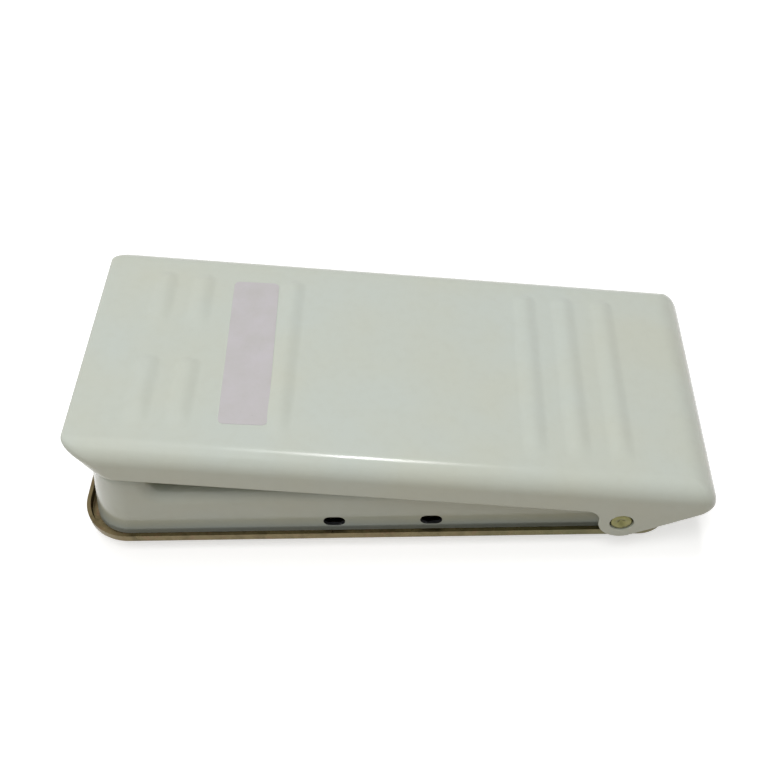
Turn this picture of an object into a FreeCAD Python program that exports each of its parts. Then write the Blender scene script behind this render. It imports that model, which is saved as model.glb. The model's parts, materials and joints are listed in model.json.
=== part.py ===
import FreeCAD, Part
import math
import os
import re
import Sketcher

# A foot pedal for a sewing machine: an enamelled steel cover that tilts on a pin
# across a low steel box, with a carbon pile speed control inside the box.
# Millimetres. +X runs from the toe end to the heel end, +Z is up, and the
# origin lies on the floor under the middle of the pedal.

V = FreeCAD.Vector

# The driving sizes.
SIZES = {
    # The cover, measured from the hinge axis: along it towards the heel, and square to it.
    "cover_toe": 167.3,
    "cover_heel": 27.0,
    "cover_top": 17.0,
    "cover_gap": 1.1,
    "cover_sheet": 1.2,
    "cover_tilt": 8.0,
    "toe_slant": 36.0,
    "toe_lip": 5.0,
    "toe_curl": 6.5,
    "toe_bend": 1.5,
    "side_roll": 6.4,
    "heel_roll": 10.0,
    "heel_corner": 5.0,
    "flange_edge": 4.4,
    "ear_radius": 6.9,
    "ear_blend": 4.5,
    "ear_rise": 33.5,
    # The raised ribs of the tread.
    "rib_width": 7.0,
    "rib_rise": 0.9,
    "toe_rib_span": 68.0,
    "toe_rib_far_end": 8.0,
    "toe_rib_near_end": 4.0,
    "heel_rib_span": 71.0,
    "heel_rib_first": 2.1,
    "heel_rib_pitch": 12.95,
    "toe_rib_single": 104.4,
    "toe_rib_first": 133.6,
    "toe_rib_pitch": 12.3,
    # The bottom tray.
    "tray_width": 84.0,
    "tray_rim": 3.7,
    "tray_sheet": 1.2,
    "tray_bend": 1.6,
    # The hinge.
    "pin_from_toe": 168.7,
    "pin_height": 9.8,
    "pin_radius": 3.4,
    "pin_fit": 0.08,
    "pin_recess": 0.3,
    "pin_chamfer": 0.5,
    "pin_dimple": 1.1,
    "pin_dimple_radius": 1.6,
    "bush_wall": 1.6,
    "bush_collar": 2.4,
    "bush_margin": 0.4,
    "bush_tail": 1.4,
    "side_play": 0.3,
    "ring_groove": 2.6,
    "ring_thick": 0.8,
    "ring_outer": 5.6,
    # The housing.
    "housing_sheet": 1.2,
    "rim_gap": 1.9,
    "deck_height": 20.0,
    "deck_roll": 4.5,
    "wall_corner": 13.0,
    "heel_wall_corner": 6.5,
    "wall_draft": 10.0,
    "hump_height": 29.5,
    "hump_flat": 0.5,
    "hump_roll": 5.2,
    "hump_fillet": 4.0,
    "vent_length": 6.8,
    "vent_width": 4.2,
    "vent_height": 5.8,
    "vent_first": 81.5,
    "vent_pitch": 30.1,
    # Feet and their screws.
    "foot_height": 5.0,
    "foot_radius": 7.0,
    "foot_inset_x": 22.0,
    "foot_inset_y": 12.9,
    "foot_gap": 1.0,
    "foot_screw": 2.0,
    "foot_head": 3.8,
    "foot_sunk": 2.4,
    "foot_head_thick": 2.0,
    "foot_bottom": 6.5,
    "lug_height": 4.0,
    "lug_sheet": 1.6,
    "lug_half": 6.0,
    # Play of parts that touch or slide.
    "seat_play": 0.05,
    "slide_play": 0.06,
    "free_play": 0.35,
    # Travel of the pedal, in degrees.
    "press_travel": 5.6,
    "stop_play": 0.3,
    # The push rod, its guide, its spring and its collar.
    "rod_reach": 56.0,
    "rod_radius": 3.0,
    "rod_pin_radius": 1.25,
    "rod_pin_drop": 2.76,
    "rod_pin_half": 5.9,
    "rod_head": 1.95,
    "rod_chamfer": 0.6,
    "rod_tail": 5.1,
    "guide_flange": 8.0,
    "guide_rise": 0.8,
    "guide_wall": 1.9,
    "guide_tail": 0.7,
    "collar_radius": 10.0,
    "collar_thick": 1.6,
    "rod_groove": 2.4,
    "rod_ring_thick": 0.6,
    "rod_ring_outer": 4.6,
    "spring_wire": 0.6,
    "spring_radius": 5.6,
    "spring_turns": 5.0,
    "seat_radius": 7.6,
    "seat_thick": 1.0,
    "seat_hub": 4.2,
    "seat_hub_rise": 1.8,
    "collar_hub": 4.2,
    "collar_hub_drop": 1.4,
    # The bracket under the cover that carries the push rod.
    "saddle_half": 5.0,
    "saddle_below": 1.2,
    "saddle_sheet": 1.0,
    "saddle_gap": 3.5,
    # The bell crank and its bracket.
    "crank_reach": 30.0,
    "crank_height": 11.0,
    "crank_half": 9.7,
    "crank_tine": 2.4,
    "crank_depth": 1.5,
    "crank_back": 0.6,
    "crank_nose": 1.5,
    "crank_hub": 3.6,
    "crank_pin": 2.0,
    "crank_drop": 6.0,
    "crank_foot": 2.4,
    "crank_foot_half": 4.0,
    "crank_foot_thick": 4.0,
    "crank_pin_head": 3.0,
    "crank_pin_cap": 0.8,
    "bracket_sheet": 1.2,
    "bracket_half": 4.5,
    "bracket_base": 0.8,
    "bracket_base_half": 8.0,
    "bracket_strip": 2.5,
    "adjuster_radius": 1.5,
    "adjuster_tip": 5.7,
    "adjuster_end": 5.4,
    "adjuster_head": 2.6,
    "adjuster_head_thick": 1.6,
    "nut_flats": 5.0,
    "nut_thick": 2.2,
    # The carbon pile block and its parts.
    "sheet_thick": 0.4,
    "sheet_margin": 2.0,
    "block_inset": 3.3,
    "block_width": 32.0,
    "block_height": 12.0,
    "bore_pitch": 16.0,
    "bore_radius": 3.75,
    "bore_height": 5.6,
    "pile_gap": 0.4,
    "disc_count": 16,
    "contact_thick": 1.2,
    "contact_width": 9.0,
    "contact_stub": 2.0,
    "contact_leg": 7.0,
    "terminal_radius": 1.45,
    "terminal_head": 3.0,
    "terminal_rise": 1.8,
    "terminal_depth": 2.2,
    "terminal_inset": 4.0,
    "block_screw": 1.5,
    "block_screw_head": 2.8,
    "block_screw_cap": 1.6,
    "block_screw_inset": 10.0,
    "block_chamfer": 0.8,
    "bridge_thick": 1.5,
    "bridge_half": 13.0,
    "bridge_low": 1.7,
    "bridge_high": 9.8,
    "bridge_gap": 0.5,
    "plug_radius": 3.4,
    "plug_length": 7.1,
    # The capacitor in the hump.
    "capacitor_radius": 6.5,
    "capacitor_length": 30.0,
    "capacitor_inset": 11.3,
    "clip_width": 8.0,
    "clip_sheet": 0.8,
    "clip_mouth": 9.0,
    "clip_foot": 16.0,
    "lead_radius": 0.5,
    "lead_length": 6.0,
    # The cord's rubber grommet.
    "grommet_bore": 3.5,
    "grommet_neck": 5.4,
    "grommet_flange": 7.2,
    "grommet_height": 13.0,
    "grommet_outside": 2.0,
    "grommet_inside": 1.6,
    "grommet_bevel": 0.8,
    # Rubber bumpers that stop the cover.
    "bumper_radius": 4.0,
    "bumper_stem": 2.0,
    "bumper_inset_x": 14.0,
    "bumper_half": 20.0,
    "bumper_bulb": 2.8,
    "bumper_tail": 1.6,
    "bumper_bevel": 0.9,
}

# Places that follow from the sizes. tilt is the cover's slope at rest, low its slope pressed.
PLACES = {
    "cover_width": "tray_width + 2 * cover_gap + 2 * cover_sheet",
    "tilt": "cover_tilt * 1deg",
    "low": "(cover_tilt - press_travel) * 1deg",
    "heel_reach": "(cover_heel - heel_roll) * cos(tilt) + (cover_top - heel_roll) * sin(tilt) + heel_roll",
    "tray_toe": "-(pin_from_toe + heel_reach) / 2",
    "floor_top": "foot_height + tray_sheet",
    "pin_x": "tray_toe + pin_from_toe",
    "pin_z": "foot_height + pin_height",
    "ear_inner": "cover_width / 2 - cover_sheet",
    "wall_toe": "tray_toe + tray_sheet + rim_gap",
    "wall_heel": "pin_x + pin_radius + bush_collar + bush_margin + heel_wall_corner",
    "tray_heel": "wall_heel + rim_gap + tray_sheet",
    "wall_half": "tray_width / 2 - tray_sheet - rim_gap",
    "deck_z": "foot_height + deck_height",
    "hump_z": "foot_height + hump_height",
    "toe_lean": "tan(wall_draft * 1deg)",
    "riser_x": "wall_toe + (hump_z - floor_top) * toe_lean + wall_corner + hump_flat + hump_roll",
    "slant": "tan(toe_slant * 1deg)",
    "rib_round": "(rib_width * rib_width / 4 + rib_rise * rib_rise) / (2 * rib_rise)",
    "foot_y": "tray_width / 2 - foot_inset_y",
    "foot_heel": "pin_x - ring_outer - foot_gap - lug_half",
    "lug_z": "floor_top + lug_height",
    "rod_x": "pin_x - rod_reach",
    "slot_w": "cover_top - cover_sheet - saddle_sheet - rod_pin_drop",
    "rod_pin_z": "pin_z + slot_w / cos(tilt) + rod_reach * tan(tilt)",
    "rod_pin_low": "pin_z + slot_w / cos(low) + rod_reach * tan(low)",
    "rod_travel": "rod_pin_z - rod_pin_low",
    "slot_rest": "-rod_reach * cos(tilt) - (rod_pin_z - pin_z) * sin(tilt)",
    "slot_low": "-rod_reach * cos(low) - (rod_pin_low - pin_z) * sin(low)",
    "guide_end": "deck_z - housing_sheet - guide_tail",
    "ring_z": "guide_end - stop_play",
    "collar_top": "ring_z - rod_ring_thick - seat_play",
    "collar_low": "collar_top - collar_thick",
    "seat_top": "floor_top + seat_thick",
    "crank_x": "rod_x - crank_reach",
    "crank_z": "foot_height + crank_height",
    "crank_tip": "collar_low - free_play - crank_nose",
    "crank_tilt": "asin((crank_tip - crank_z) / crank_reach)",
    "crank_low": "asin((crank_tip - rod_travel - crank_z) / crank_reach)",
    "bridge_x": "crank_x - adjuster_tip * cos(crank_tilt) + crank_drop * sin(crank_tilt)"
                " - bridge_gap - bridge_thick",
    "contact_travel": "crank_drop * (sin(crank_tilt) - sin(crank_low))"
                      " + adjuster_tip * (cos(crank_low) - cos(crank_tilt))",
    "block_heel": "bridge_x - contact_travel - free_play",
    "block_toe": "riser_x + block_inset",
    "block_length": "block_heel - block_toe",
    "block_z": "floor_top + sheet_thick",
    "bore_z": "block_z + bore_height",
    "pile_length": "bridge_x - plug_length - contact_travel - pile_gap"
                   " - block_toe - contact_stub - seat_play",
    "disc_pitch": "pile_length / disc_count",
    "block_top": "block_z + block_height",
    "capacitor_x": "riser_x - capacitor_inset",
    "capacitor_z": "floor_top + clip_sheet + capacitor_radius",
    "grommet_z": "foot_height + grommet_height",
    "grommet_x": "wall_toe + (grommet_z - floor_top) * toe_lean",
    "bumper_x": "tray_toe + bumper_inset_x",
    "cover_under_low": "pin_z + (cover_top - cover_sheet) / cos(low) + (pin_x - bumper_x) * tan(low)",
    "bumper_rise": "cover_under_low - hump_z - stop_play - bumper_radius * tan(low)",
}

doc = FreeCAD.newDocument("foot_pedal")


def fill_sheet(name, entries, as_formula):
    """A two-column table: the words in A, the values in B under those words as aliases."""
    sheet = doc.addObject("Spreadsheet::Sheet", name)
    for row, (word, value) in enumerate(entries.items(), start=1):
        sheet.set("A%d" % row, word)
        sheet.set("B%d" % row, "=" + bound(value) if as_formula else str(value))
        sheet.setAlias("B%d" % row, word)
    doc.recompute()
    return sheet


def bound(text):
    """The same expression with every size and place named by its table."""
    def owner(match):
        word = match.group(0)
        if word in SIZES:
            return "Sizes." + word
        if word in PLACES:
            return "Places." + word
        return word
    return re.sub(r"[a-z][a-z_]+[a-z]", owner, text)


sizes = fill_sheet("Sizes", SIZES, False)
places = fill_sheet("Places", PLACES, True)


def amount(word):
    """The plain number behind a size or a place."""
    value = (sizes if word in SIZES else places).get(word)
    return float(getattr(value, "Value", value))


def tie(item, **links):
    """Bind properties: length="...", with x, y, z and turn for the placement."""
    spots = {
        "x": "Placement.Base.x",
        "y": "Placement.Base.y",
        "z": "Placement.Base.z",
        "turn": "Placement.Rotation.Angle",
    }
    for key, text in links.items():
        item.setExpression(spots.get(key, key), bound(text))
    return item


# Directions for parts whose own axis runs along Z.
ALONG_X = FreeCAD.Rotation(V(0, 1, 0), 90)
ALONG_Y = FreeCAD.Rotation(V(1, 0, 0), -90)
ALONG_Z = FreeCAD.Rotation()


def cylinder(name, radius, height, x, y, z, rotation=ALONG_Z):
    """A round bar that starts at x, y, z."""
    item = doc.addObject("Part::Cylinder", name)
    item.Placement = FreeCAD.Placement(V(), rotation)
    return tie(item, Radius=radius, Height=height, x=x, y=y, z=z)


def block(name, length, width, height, x, y, z):
    """A box from its low corner."""
    item = doc.addObject("Part::Box", name)
    return tie(item, Length=length, Width=width, Height=height, x=x, y=y, z=z)


def cut(name, base, tool):
    item = doc.addObject("Part::Cut", name)
    item.Base = base
    item.Tool = tool
    return item


def fuse(name, items):
    item = doc.addObject("Part::MultiFuse", name)
    item.Shapes = items
    return item


def group(name, items):
    """Several equal solids that make one node."""
    item = doc.addObject("Part::Compound", name)
    item.Links = items
    return item


def new_body(name):
    return doc.addObject("PartDesign::Body", name)


def sketch_on(body, name, role, offset=None):
    """A sketch on one of the body's own planes, moved along its normal by an expression."""
    sketch = body.newObject("Sketcher::SketchObject", name)
    plane = [item for item in body.Origin.OriginFeatures if item.Role == role][0]
    sketch.AttachmentSupport = (plane, "")
    sketch.MapMode = "FlatFace"
    if offset:
        sketch.setExpression("AttachmentOffset.Base.z", bound(offset))
    return sketch


def measure(text):
    """The present number of an expression, for a sketch's first drawing."""
    probe = doc.getObject("Probe") or doc.addObject("Spreadsheet::Sheet", "Probe")
    probe.set("A1", "=" + bound(text))
    probe.recompute()
    value = probe.get("A1")
    return float(getattr(value, "Value", value))


def pin_point(sketch, geometry, end, x, y):
    """Hold one point of a sketch at two expressions."""
    for kind, text in (("DistanceX", x), ("DistanceY", y)):
        rule = Sketcher.Constraint(kind, -1, 1, geometry, end, measure(text))
        sketch.setExpression("Constraints[%d]" % sketch.addConstraint(rule), bound(text))


def polygon(sketch, corners):
    """A closed outline through corners given as expressions."""
    spots = [V(measure(x), measure(y), 0) for x, y in corners]
    first = sketch.GeometryCount
    for number, spot in enumerate(spots):
        sketch.addGeometry(Part.LineSegment(spot, spots[(number + 1) % len(spots)]), False)
    for number in range(len(corners)):
        after = first + (number + 1) % len(corners)
        sketch.addConstraint(Sketcher.Constraint("Coincident", first + number, 2, after, 1))
    for number, (x, y) in enumerate(corners):
        pin_point(sketch, first + number, 1, x, y)


def rectangle(sketch, low_x, high_x, low_y, high_y):
    polygon(sketch, [(low_x, low_y), (high_x, low_y), (high_x, high_y), (low_x, high_y)])


def circle(sketch, x, y, radius):
    size = measure(radius)
    number = sketch.addGeometry(Part.Circle(V(measure(x), measure(y), 0), V(0, 0, 1), size), False)
    pin_point(sketch, number, 3, x, y)
    rule = Sketcher.Constraint("Radius", number, size)
    sketch.setExpression("Constraints[%d]" % sketch.addConstraint(rule), bound(radius))


def slot(sketch, x, y, length, width):
    """An oblong hole that lies along the sketch's first axis."""
    middle_x, middle_y = measure(x), measure(y)
    radius = measure(width) / 2
    half = measure(length) / 2 - radius
    up, across = V(0, radius, 0), V(half, 0, 0)
    middle = V(middle_x, middle_y, 0)
    quarter = math.pi / 2
    right = Part.ArcOfCircle(Part.Circle(middle + across, V(0, 0, 1), radius), -quarter, quarter)
    left = Part.ArcOfCircle(Part.Circle(middle - across, V(0, 0, 1), radius), quarter, 3 * quarter)
    top = Part.LineSegment(middle + across + up, middle - across + up)
    bottom = Part.LineSegment(middle - across - up, middle + across - up)
    numbers = [sketch.addGeometry(item, False) for item in (right, top, left, bottom)]
    for one, other in zip(numbers, numbers[1:] + numbers[:1]):
        sketch.addConstraint(Sketcher.Constraint("Tangent", one, 2, other, 1))
    reach = "((%s) - (%s)) / 2" % (length, width)
    pin_point(sketch, numbers[0], 3, "(%s) + %s" % (x, reach), y)
    pin_point(sketch, numbers[2], 3, "(%s) - %s" % (x, reach), y)
    rule = Sketcher.Constraint("Radius", numbers[0], radius)
    sketch.setExpression("Constraints[%d]" % sketch.addConstraint(rule), bound("(%s) / 2" % width))


def pad(body, name, sketch, length, both_ways=False, back=False):
    item = body.newObject("PartDesign::Pad", name)
    item.Profile = sketch
    item.Reversed = back
    item.SideType = "Symmetric" if both_ways else "One side"
    tie(item, Length=length)
    doc.recompute()
    return item


def pocket(body, name, sketch, length, both_ways=False, back=False):
    item = body.newObject("PartDesign::Pocket", name)
    item.Profile = sketch
    item.Reversed = back
    item.SideType = "Symmetric" if both_ways else "One side"
    tie(item, Length=length)
    doc.recompute()
    return item


def revolve(body, name, sketch, axis):
    item = body.newObject("PartDesign::Revolution", name)
    item.Profile = sketch
    item.ReferenceAxis = (sketch, [axis])
    item.Angle = 360
    doc.recompute()
    return item


def edges_where(shape, rule):
    """Names of the edges whose middle and direction suit a rule."""
    names = []
    for number, edge in enumerate(shape.Edges, start=1):
        middle = edge.valueAt((edge.FirstParameter + edge.LastParameter) / 2)
        ends = edge.valueAt(edge.LastParameter) - edge.valueAt(edge.FirstParameter)
        if rule(middle, ends, edge):
            names.append("Edge%d" % number)
    return names


def near(place, other):
    """Whether two lengths are the same, to a hundredth of a millimetre."""
    return abs(place - other) < 0.01


def upright(ends):
    return abs(ends.z) > 1 and math.hypot(ends.x, ends.y) < 0.01 * abs(ends.z)


def leaning(ends):
    return abs(ends.z) > 1 and abs(ends.x) > 0.1 * abs(ends.z) and near(ends.y, 0)


# The tread ribs, as places along the cover and the two ends across it.
def rib_places():
    for number in range(3):
        yield "-(heel_rib_first + %d * heel_rib_pitch)" % number, "-heel_rib_span / 2", "heel_rib_span / 2"
    yield "-toe_rib_single", "-toe_rib_span / 2", "toe_rib_span / 2"
    for number in range(2):
        along = "-(toe_rib_first + %d * toe_rib_pitch)" % number
        yield along, "-toe_rib_span / 2", "-toe_rib_near_end"
        yield along, "toe_rib_far_end", "toe_rib_span / 2"


def round_edges(name, base, choices):
    """Round several kinds of edge at once, each with its own radius, so that they meet in one corner."""
    item = doc.addObject("Part::Fillet", name)
    item.Base = base
    doc.recompute()
    edges = []
    for rule, radius in choices:
        size = measure(radius)
        for word in edges_where(base.Shape, rule):
            edges.append((int(word[4:]), size, size))
    item.Edges = edges
    return item


def cover_form(name, inset):
    """The cover as a solid block, or, with an inset, the space inside it."""
    body = new_body(name)
    side_view = sketch_on(body, name + "_side", "XZ_Plane")
    top = "cover_top - (%s)" % inset
    low = "-2 * ear_radius"
    polygon(side_view, [
        ("-cover_toe + (%s) / cos(toe_slant * 1deg) + (%s) * slant" % (inset, inset), top),
        ("-cover_toe + (%s) / cos(toe_slant * 1deg) + (cover_top - (%s)) * slant" % (inset, low), low),
        ("cover_heel - (%s)" % inset, low),
        ("cover_heel - (%s)" % inset, top),
    ])
    pad(body, name + "_block", side_view, "cover_width - 2 * (%s)" % inset, True)
    half = measure("cover_width / 2 - (%s)" % inset)
    height = measure(top)
    heel = measure("cover_heel - (%s)" % inset)

    def on_top(middle):
        return near(middle.z, height)

    def on_side(middle):
        return near(abs(middle.y), half)

    return round_edges(name + "_rounded", body, [
        (lambda middle, ends, edge: upright(ends) and near(middle.x, heel), "heel_corner - (%s)" % inset),
        (lambda middle, ends, edge: on_top(middle) and near(middle.x, heel), "heel_roll - (%s)" % inset),
        (lambda middle, ends, edge: on_top(middle) and on_side(middle), "side_roll - (%s)" % inset),
        (lambda middle, ends, edge: on_side(middle) and leaning(ends), "toe_curl - (%s)" % inset),
        (lambda middle, ends, edge: on_top(middle) and middle.x < 0 and near(middle.y, 0),
         "toe_bend - (%s)" % inset),
    ])


# Cover: the outer block less the space inside it, with ribs pressed up through both.
def cover_ribs(name, sink):
    """Every rib as a long round-ended bar that stands a little out of the tread."""
    bars = []
    for number, (along, start, end) in enumerate(rib_places()):
        body = new_body("%s_%d" % (name, number))
        half = sketch_on(body, "%s_%d_half" % (name, number), "YZ_Plane", along)
        radius = measure("rib_round")
        axis = measure("cover_top + rib_rise - rib_round - (%s)" % sink)
        low = measure("(%s) + rib_width / 2" % start)
        high = measure("(%s) - rib_width / 2" % end)
        quarter = math.pi / 2
        low_cap = Part.ArcOfCircle(Part.Circle(V(low, axis, 0), V(0, 0, 1), radius), quarter, math.pi)
        high_cap = Part.ArcOfCircle(Part.Circle(V(high, axis, 0), V(0, 0, 1), radius), 0, quarter)
        crown = Part.LineSegment(V(high, axis + radius, 0), V(low, axis + radius, 0))
        core = Part.LineSegment(V(low - radius, axis, 0), V(high + radius, axis, 0))
        items = [half.addGeometry(item, False) for item in (high_cap, crown, low_cap, core)]
        half.addConstraint(Sketcher.Constraint("Tangent", items[0], 2, items[1], 1))
        half.addConstraint(Sketcher.Constraint("Tangent", items[1], 2, items[2], 1))
        half.addConstraint(Sketcher.Constraint("Coincident", items[2], 2, items[3], 1))
        half.addConstraint(Sketcher.Constraint("Coincident", items[3], 2, items[0], 1))
        half.addConstraint(Sketcher.Constraint("PointOnObject", items[0], 3, items[3]))
        height = "cover_top + rib_rise - rib_round - (%s)" % sink
        pin_point(half, items[0], 3, "(%s) - rib_width / 2" % end, height)
        pin_point(half, items[2], 3, "(%s) + rib_width / 2" % start, height)
        rule = Sketcher.Constraint("Radius", items[0], radius)
        half.setExpression("Constraints[%d]" % half.addConstraint(rule), bound("rib_round"))
        revolve(body, "%s_%d_bar" % (name, number), half, "Edge%d" % (items[3] + 1))
        bars.append(body)
    return bars


def make_cover():
    outer = cover_form("cover_outer", "0")
    inner = cover_form("cover_inner", "cover_sheet")
    raised = fuse("cover_raised", [outer] + cover_ribs("rib_out", "0"))
    hollow = fuse("cover_hollow", [inner] + cover_ribs("rib_in", "cover_sheet"))
    shell = cut("cover_shell", raised, hollow)

    # Everything under the flange's edge, the ear and the rising edge behind it comes away.
    under = new_body("cover_under")
    edge = sketch_on(under, "cover_under_edge", "XZ_Plane")
    ear, blend = amount("ear_radius"), amount("ear_blend")
    line, rise = amount("flange_edge"), math.radians(amount("ear_rise"))
    blend_z = line - blend
    blend_x = -math.sqrt((ear + blend) ** 2 - blend_z ** 2)
    toe_x, heel_x, low_z = -1.2 * amount("cover_toe"), 2 * amount("cover_heel"), -3 * ear
    meet = math.atan2(blend_z, blend_x)
    leave = V(ear * math.sin(rise), -ear * math.cos(rise), 0)
    rise_end = leave + V(math.cos(rise), math.sin(rise), 0) * ((heel_x - leave.x) / math.cos(rise))
    turn = V(0, 0, 1)
    items = [edge.addGeometry(item, False) for item in (
        Part.LineSegment(V(toe_x, line, 0), V(blend_x, line, 0)),
        Part.ArcOfCircle(Part.Circle(V(blend_x, blend_z, 0), turn, blend),
                         meet + math.pi, math.pi / 2 + 2 * math.pi),
        Part.ArcOfCircle(Part.Circle(V(0, 0, 0), turn, ear), meet, rise - math.pi / 2 + 2 * math.pi),
        Part.LineSegment(leave, rise_end),
        Part.LineSegment(rise_end, V(heel_x, low_z, 0)),
        Part.LineSegment(V(heel_x, low_z, 0), V(toe_x, low_z, 0)),
        Part.LineSegment(V(toe_x, low_z, 0), V(toe_x, line, 0)))]
    flat, hollow_arc, ear_arc, slope, back, floor, front = items
    for rule in (
            Sketcher.Constraint("Tangent", flat, 2, hollow_arc, 2),
            Sketcher.Constraint("Tangent", hollow_arc, 1, ear_arc, 1),
            Sketcher.Constraint("Tangent", ear_arc, 2, slope, 1),
            Sketcher.Constraint("Coincident", slope, 2, back, 1),
            Sketcher.Constraint("Coincident", back, 2, floor, 1),
            Sketcher.Constraint("Coincident", floor, 2, front, 1),
            Sketcher.Constraint("Coincident", front, 2, flat, 1),
            Sketcher.Constraint("Vertical", back),
            Sketcher.Constraint("Vertical", front),
            Sketcher.Constraint("Coincident", ear_arc, 3, -1, 1)):
        edge.addConstraint(rule)
    rule = Sketcher.Constraint("Radius", ear_arc, ear)
    edge.setExpression("Constraints[%d]" % edge.addConstraint(rule), bound("ear_radius"))
    rule = Sketcher.Constraint("Radius", hollow_arc, blend)
    edge.setExpression("Constraints[%d]" % edge.addConstraint(rule), bound("ear_blend"))
    rule = Sketcher.Constraint("Angle", slope, rise)
    edge.setExpression("Constraints[%d]" % edge.addConstraint(rule), bound("ear_rise * 1deg"))
    pin_point(edge, flat, 1, "-1.2 * cover_toe", "flange_edge")
    rule = Sketcher.Constraint("DistanceY", -1, 1, flat, 2, line)
    edge.setExpression("Constraints[%d]" % edge.addConstraint(rule), bound("flange_edge"))
    pin_point(edge, back, 2, "2 * cover_heel", "-3 * ear_radius")
    rule = Sketcher.Constraint("DistanceY", -1, 1, front, 1, low_z)
    edge.setExpression("Constraints[%d]" % edge.addConstraint(rule), bound("-3 * ear_radius"))
    pad(under, "cover_under_cut", edge, "2 * cover_width", True)
    trimmed = cut("cover_trimmed", shell, under)

    # The toe end stays open between its lip and its two curls, to clear the hump.
    window = block("toe_window", "3 * cover_top", "cover_width - 2 * toe_curl", "3 * cover_top",
                   "-cover_toe - 1.5 * cover_top",
                   "-cover_width / 2 + toe_curl",
                   "cover_top - toe_lip * cos(toe_slant * 1deg) - 3 * cover_top")
    limit = block("toe_limit", "cover_toe", "2 * cover_width", "6 * cover_top",
                  "-cover_toe + (cover_top + toe_lip) * slant + 2 * cover_sheet",
                  "-cover_width", "-3 * cover_top")
    opened = cut("cover_opened", trimmed, cut("toe_opening", window, limit))
    holes = cylinder("cover_pin_holes", "pin_radius + pin_fit", "2 * cover_width",
                     "0", "-cover_width", "0", ALONG_Y)
    cover = cut("pedal_cover", opened, holes)
    cover.Placement = FreeCAD.Placement(V(), FreeCAD.Rotation(V(0, 1, 0), amount("cover_tilt")))
    tie(cover, x="pin_x", z="pin_z", turn="tilt")
    return cover


def turned(item, x, y, z, turn="0 * 1deg"):
    """Place a finished piece, with a turn about the Y direction."""
    item.Placement = FreeCAD.Placement(V(), FreeCAD.Rotation(V(0, 1, 0), measure(turn)))
    return tie(item, x=x, y=y, z=z, turn=turn)


def turned_piece(name, role, axis, corners):
    """A turned piece: a half outline of radius and height swept round its axis."""
    body = new_body(name)
    outline = sketch_on(body, name + "_outline", role)
    polygon(outline, corners)
    revolve(body, name + "_turn", outline, axis)
    return body


def mirrored(name, item):
    """The same piece on the far side."""
    other = doc.addObject("Part::Mirroring", name)
    other.Source = item
    other.Normal = V(0, 1, 0)
    return other


def both_sides(name, item):
    return group(name, [item, mirrored(name + "_far", item)])


# The four feet stand at these places.
FOOT_PLACES = [(x, y) for x in ("tray_toe + foot_inset_x", "foot_heel") for y in ("-foot_y", "foot_y")]
BLOCK_SCREW_PLACES = ["block_toe + block_screw_inset", "block_heel - block_screw_inset"]
PILE_PLACES = ["-bore_pitch / 2", "bore_pitch / 2"]


def rounded_pan(name, inset, low, high):
    """A shallow block with round corners and a small bend round its floor."""
    body = new_body(name)
    plan = sketch_on(body, name + "_plan", "XY_Plane", low)
    rectangle(plan, "tray_toe + %s" % inset, "tray_heel - %s" % inset,
              "-tray_width / 2 + %s" % inset, "tray_width / 2 - %s" % inset)
    pad(body, name + "_block", plan, "(%s) - (%s)" % (high, low))
    corners = round_edges(name + "_corners", body, [
        (lambda middle, ends, edge: upright(ends) and middle.x < 0,
         "wall_corner + rim_gap + tray_sheet - %s" % inset),
        (lambda middle, ends, edge: upright(ends) and middle.x > 0,
         "heel_wall_corner + rim_gap + tray_sheet - %s" % inset)])
    doc.recompute()
    bottom = measure(low)
    return round_edges(name + "_bend", corners, [
        (lambda middle, ends, edge: near(middle.z, bottom), "tray_bend - %s" % inset)])


def make_tray():
    outer = rounded_pan("tray_outer", "0", "foot_height", "foot_height + tray_rim")
    inner = rounded_pan("tray_inner", "tray_sheet", "floor_top", "foot_height + 2 * tray_rim")
    pan = cut("tray_pan", outer, inner)
    holes = [cylinder("tray_foot_hole_%d" % number, "foot_screw + 2 * seat_play", "4 * tray_sheet",
                      x, y, "foot_height - tray_sheet")
             for number, (x, y) in enumerate(FOOT_PLACES)]
    holes += [cylinder("tray_block_hole_%d" % number, "block_screw + seat_play", "4 * tray_sheet",
                       x, "0", "foot_height - tray_sheet")
              for number, x in enumerate(BLOCK_SCREW_PLACES)]
    return cut("base_tray", pan, fuse("tray_holes", holes))


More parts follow.
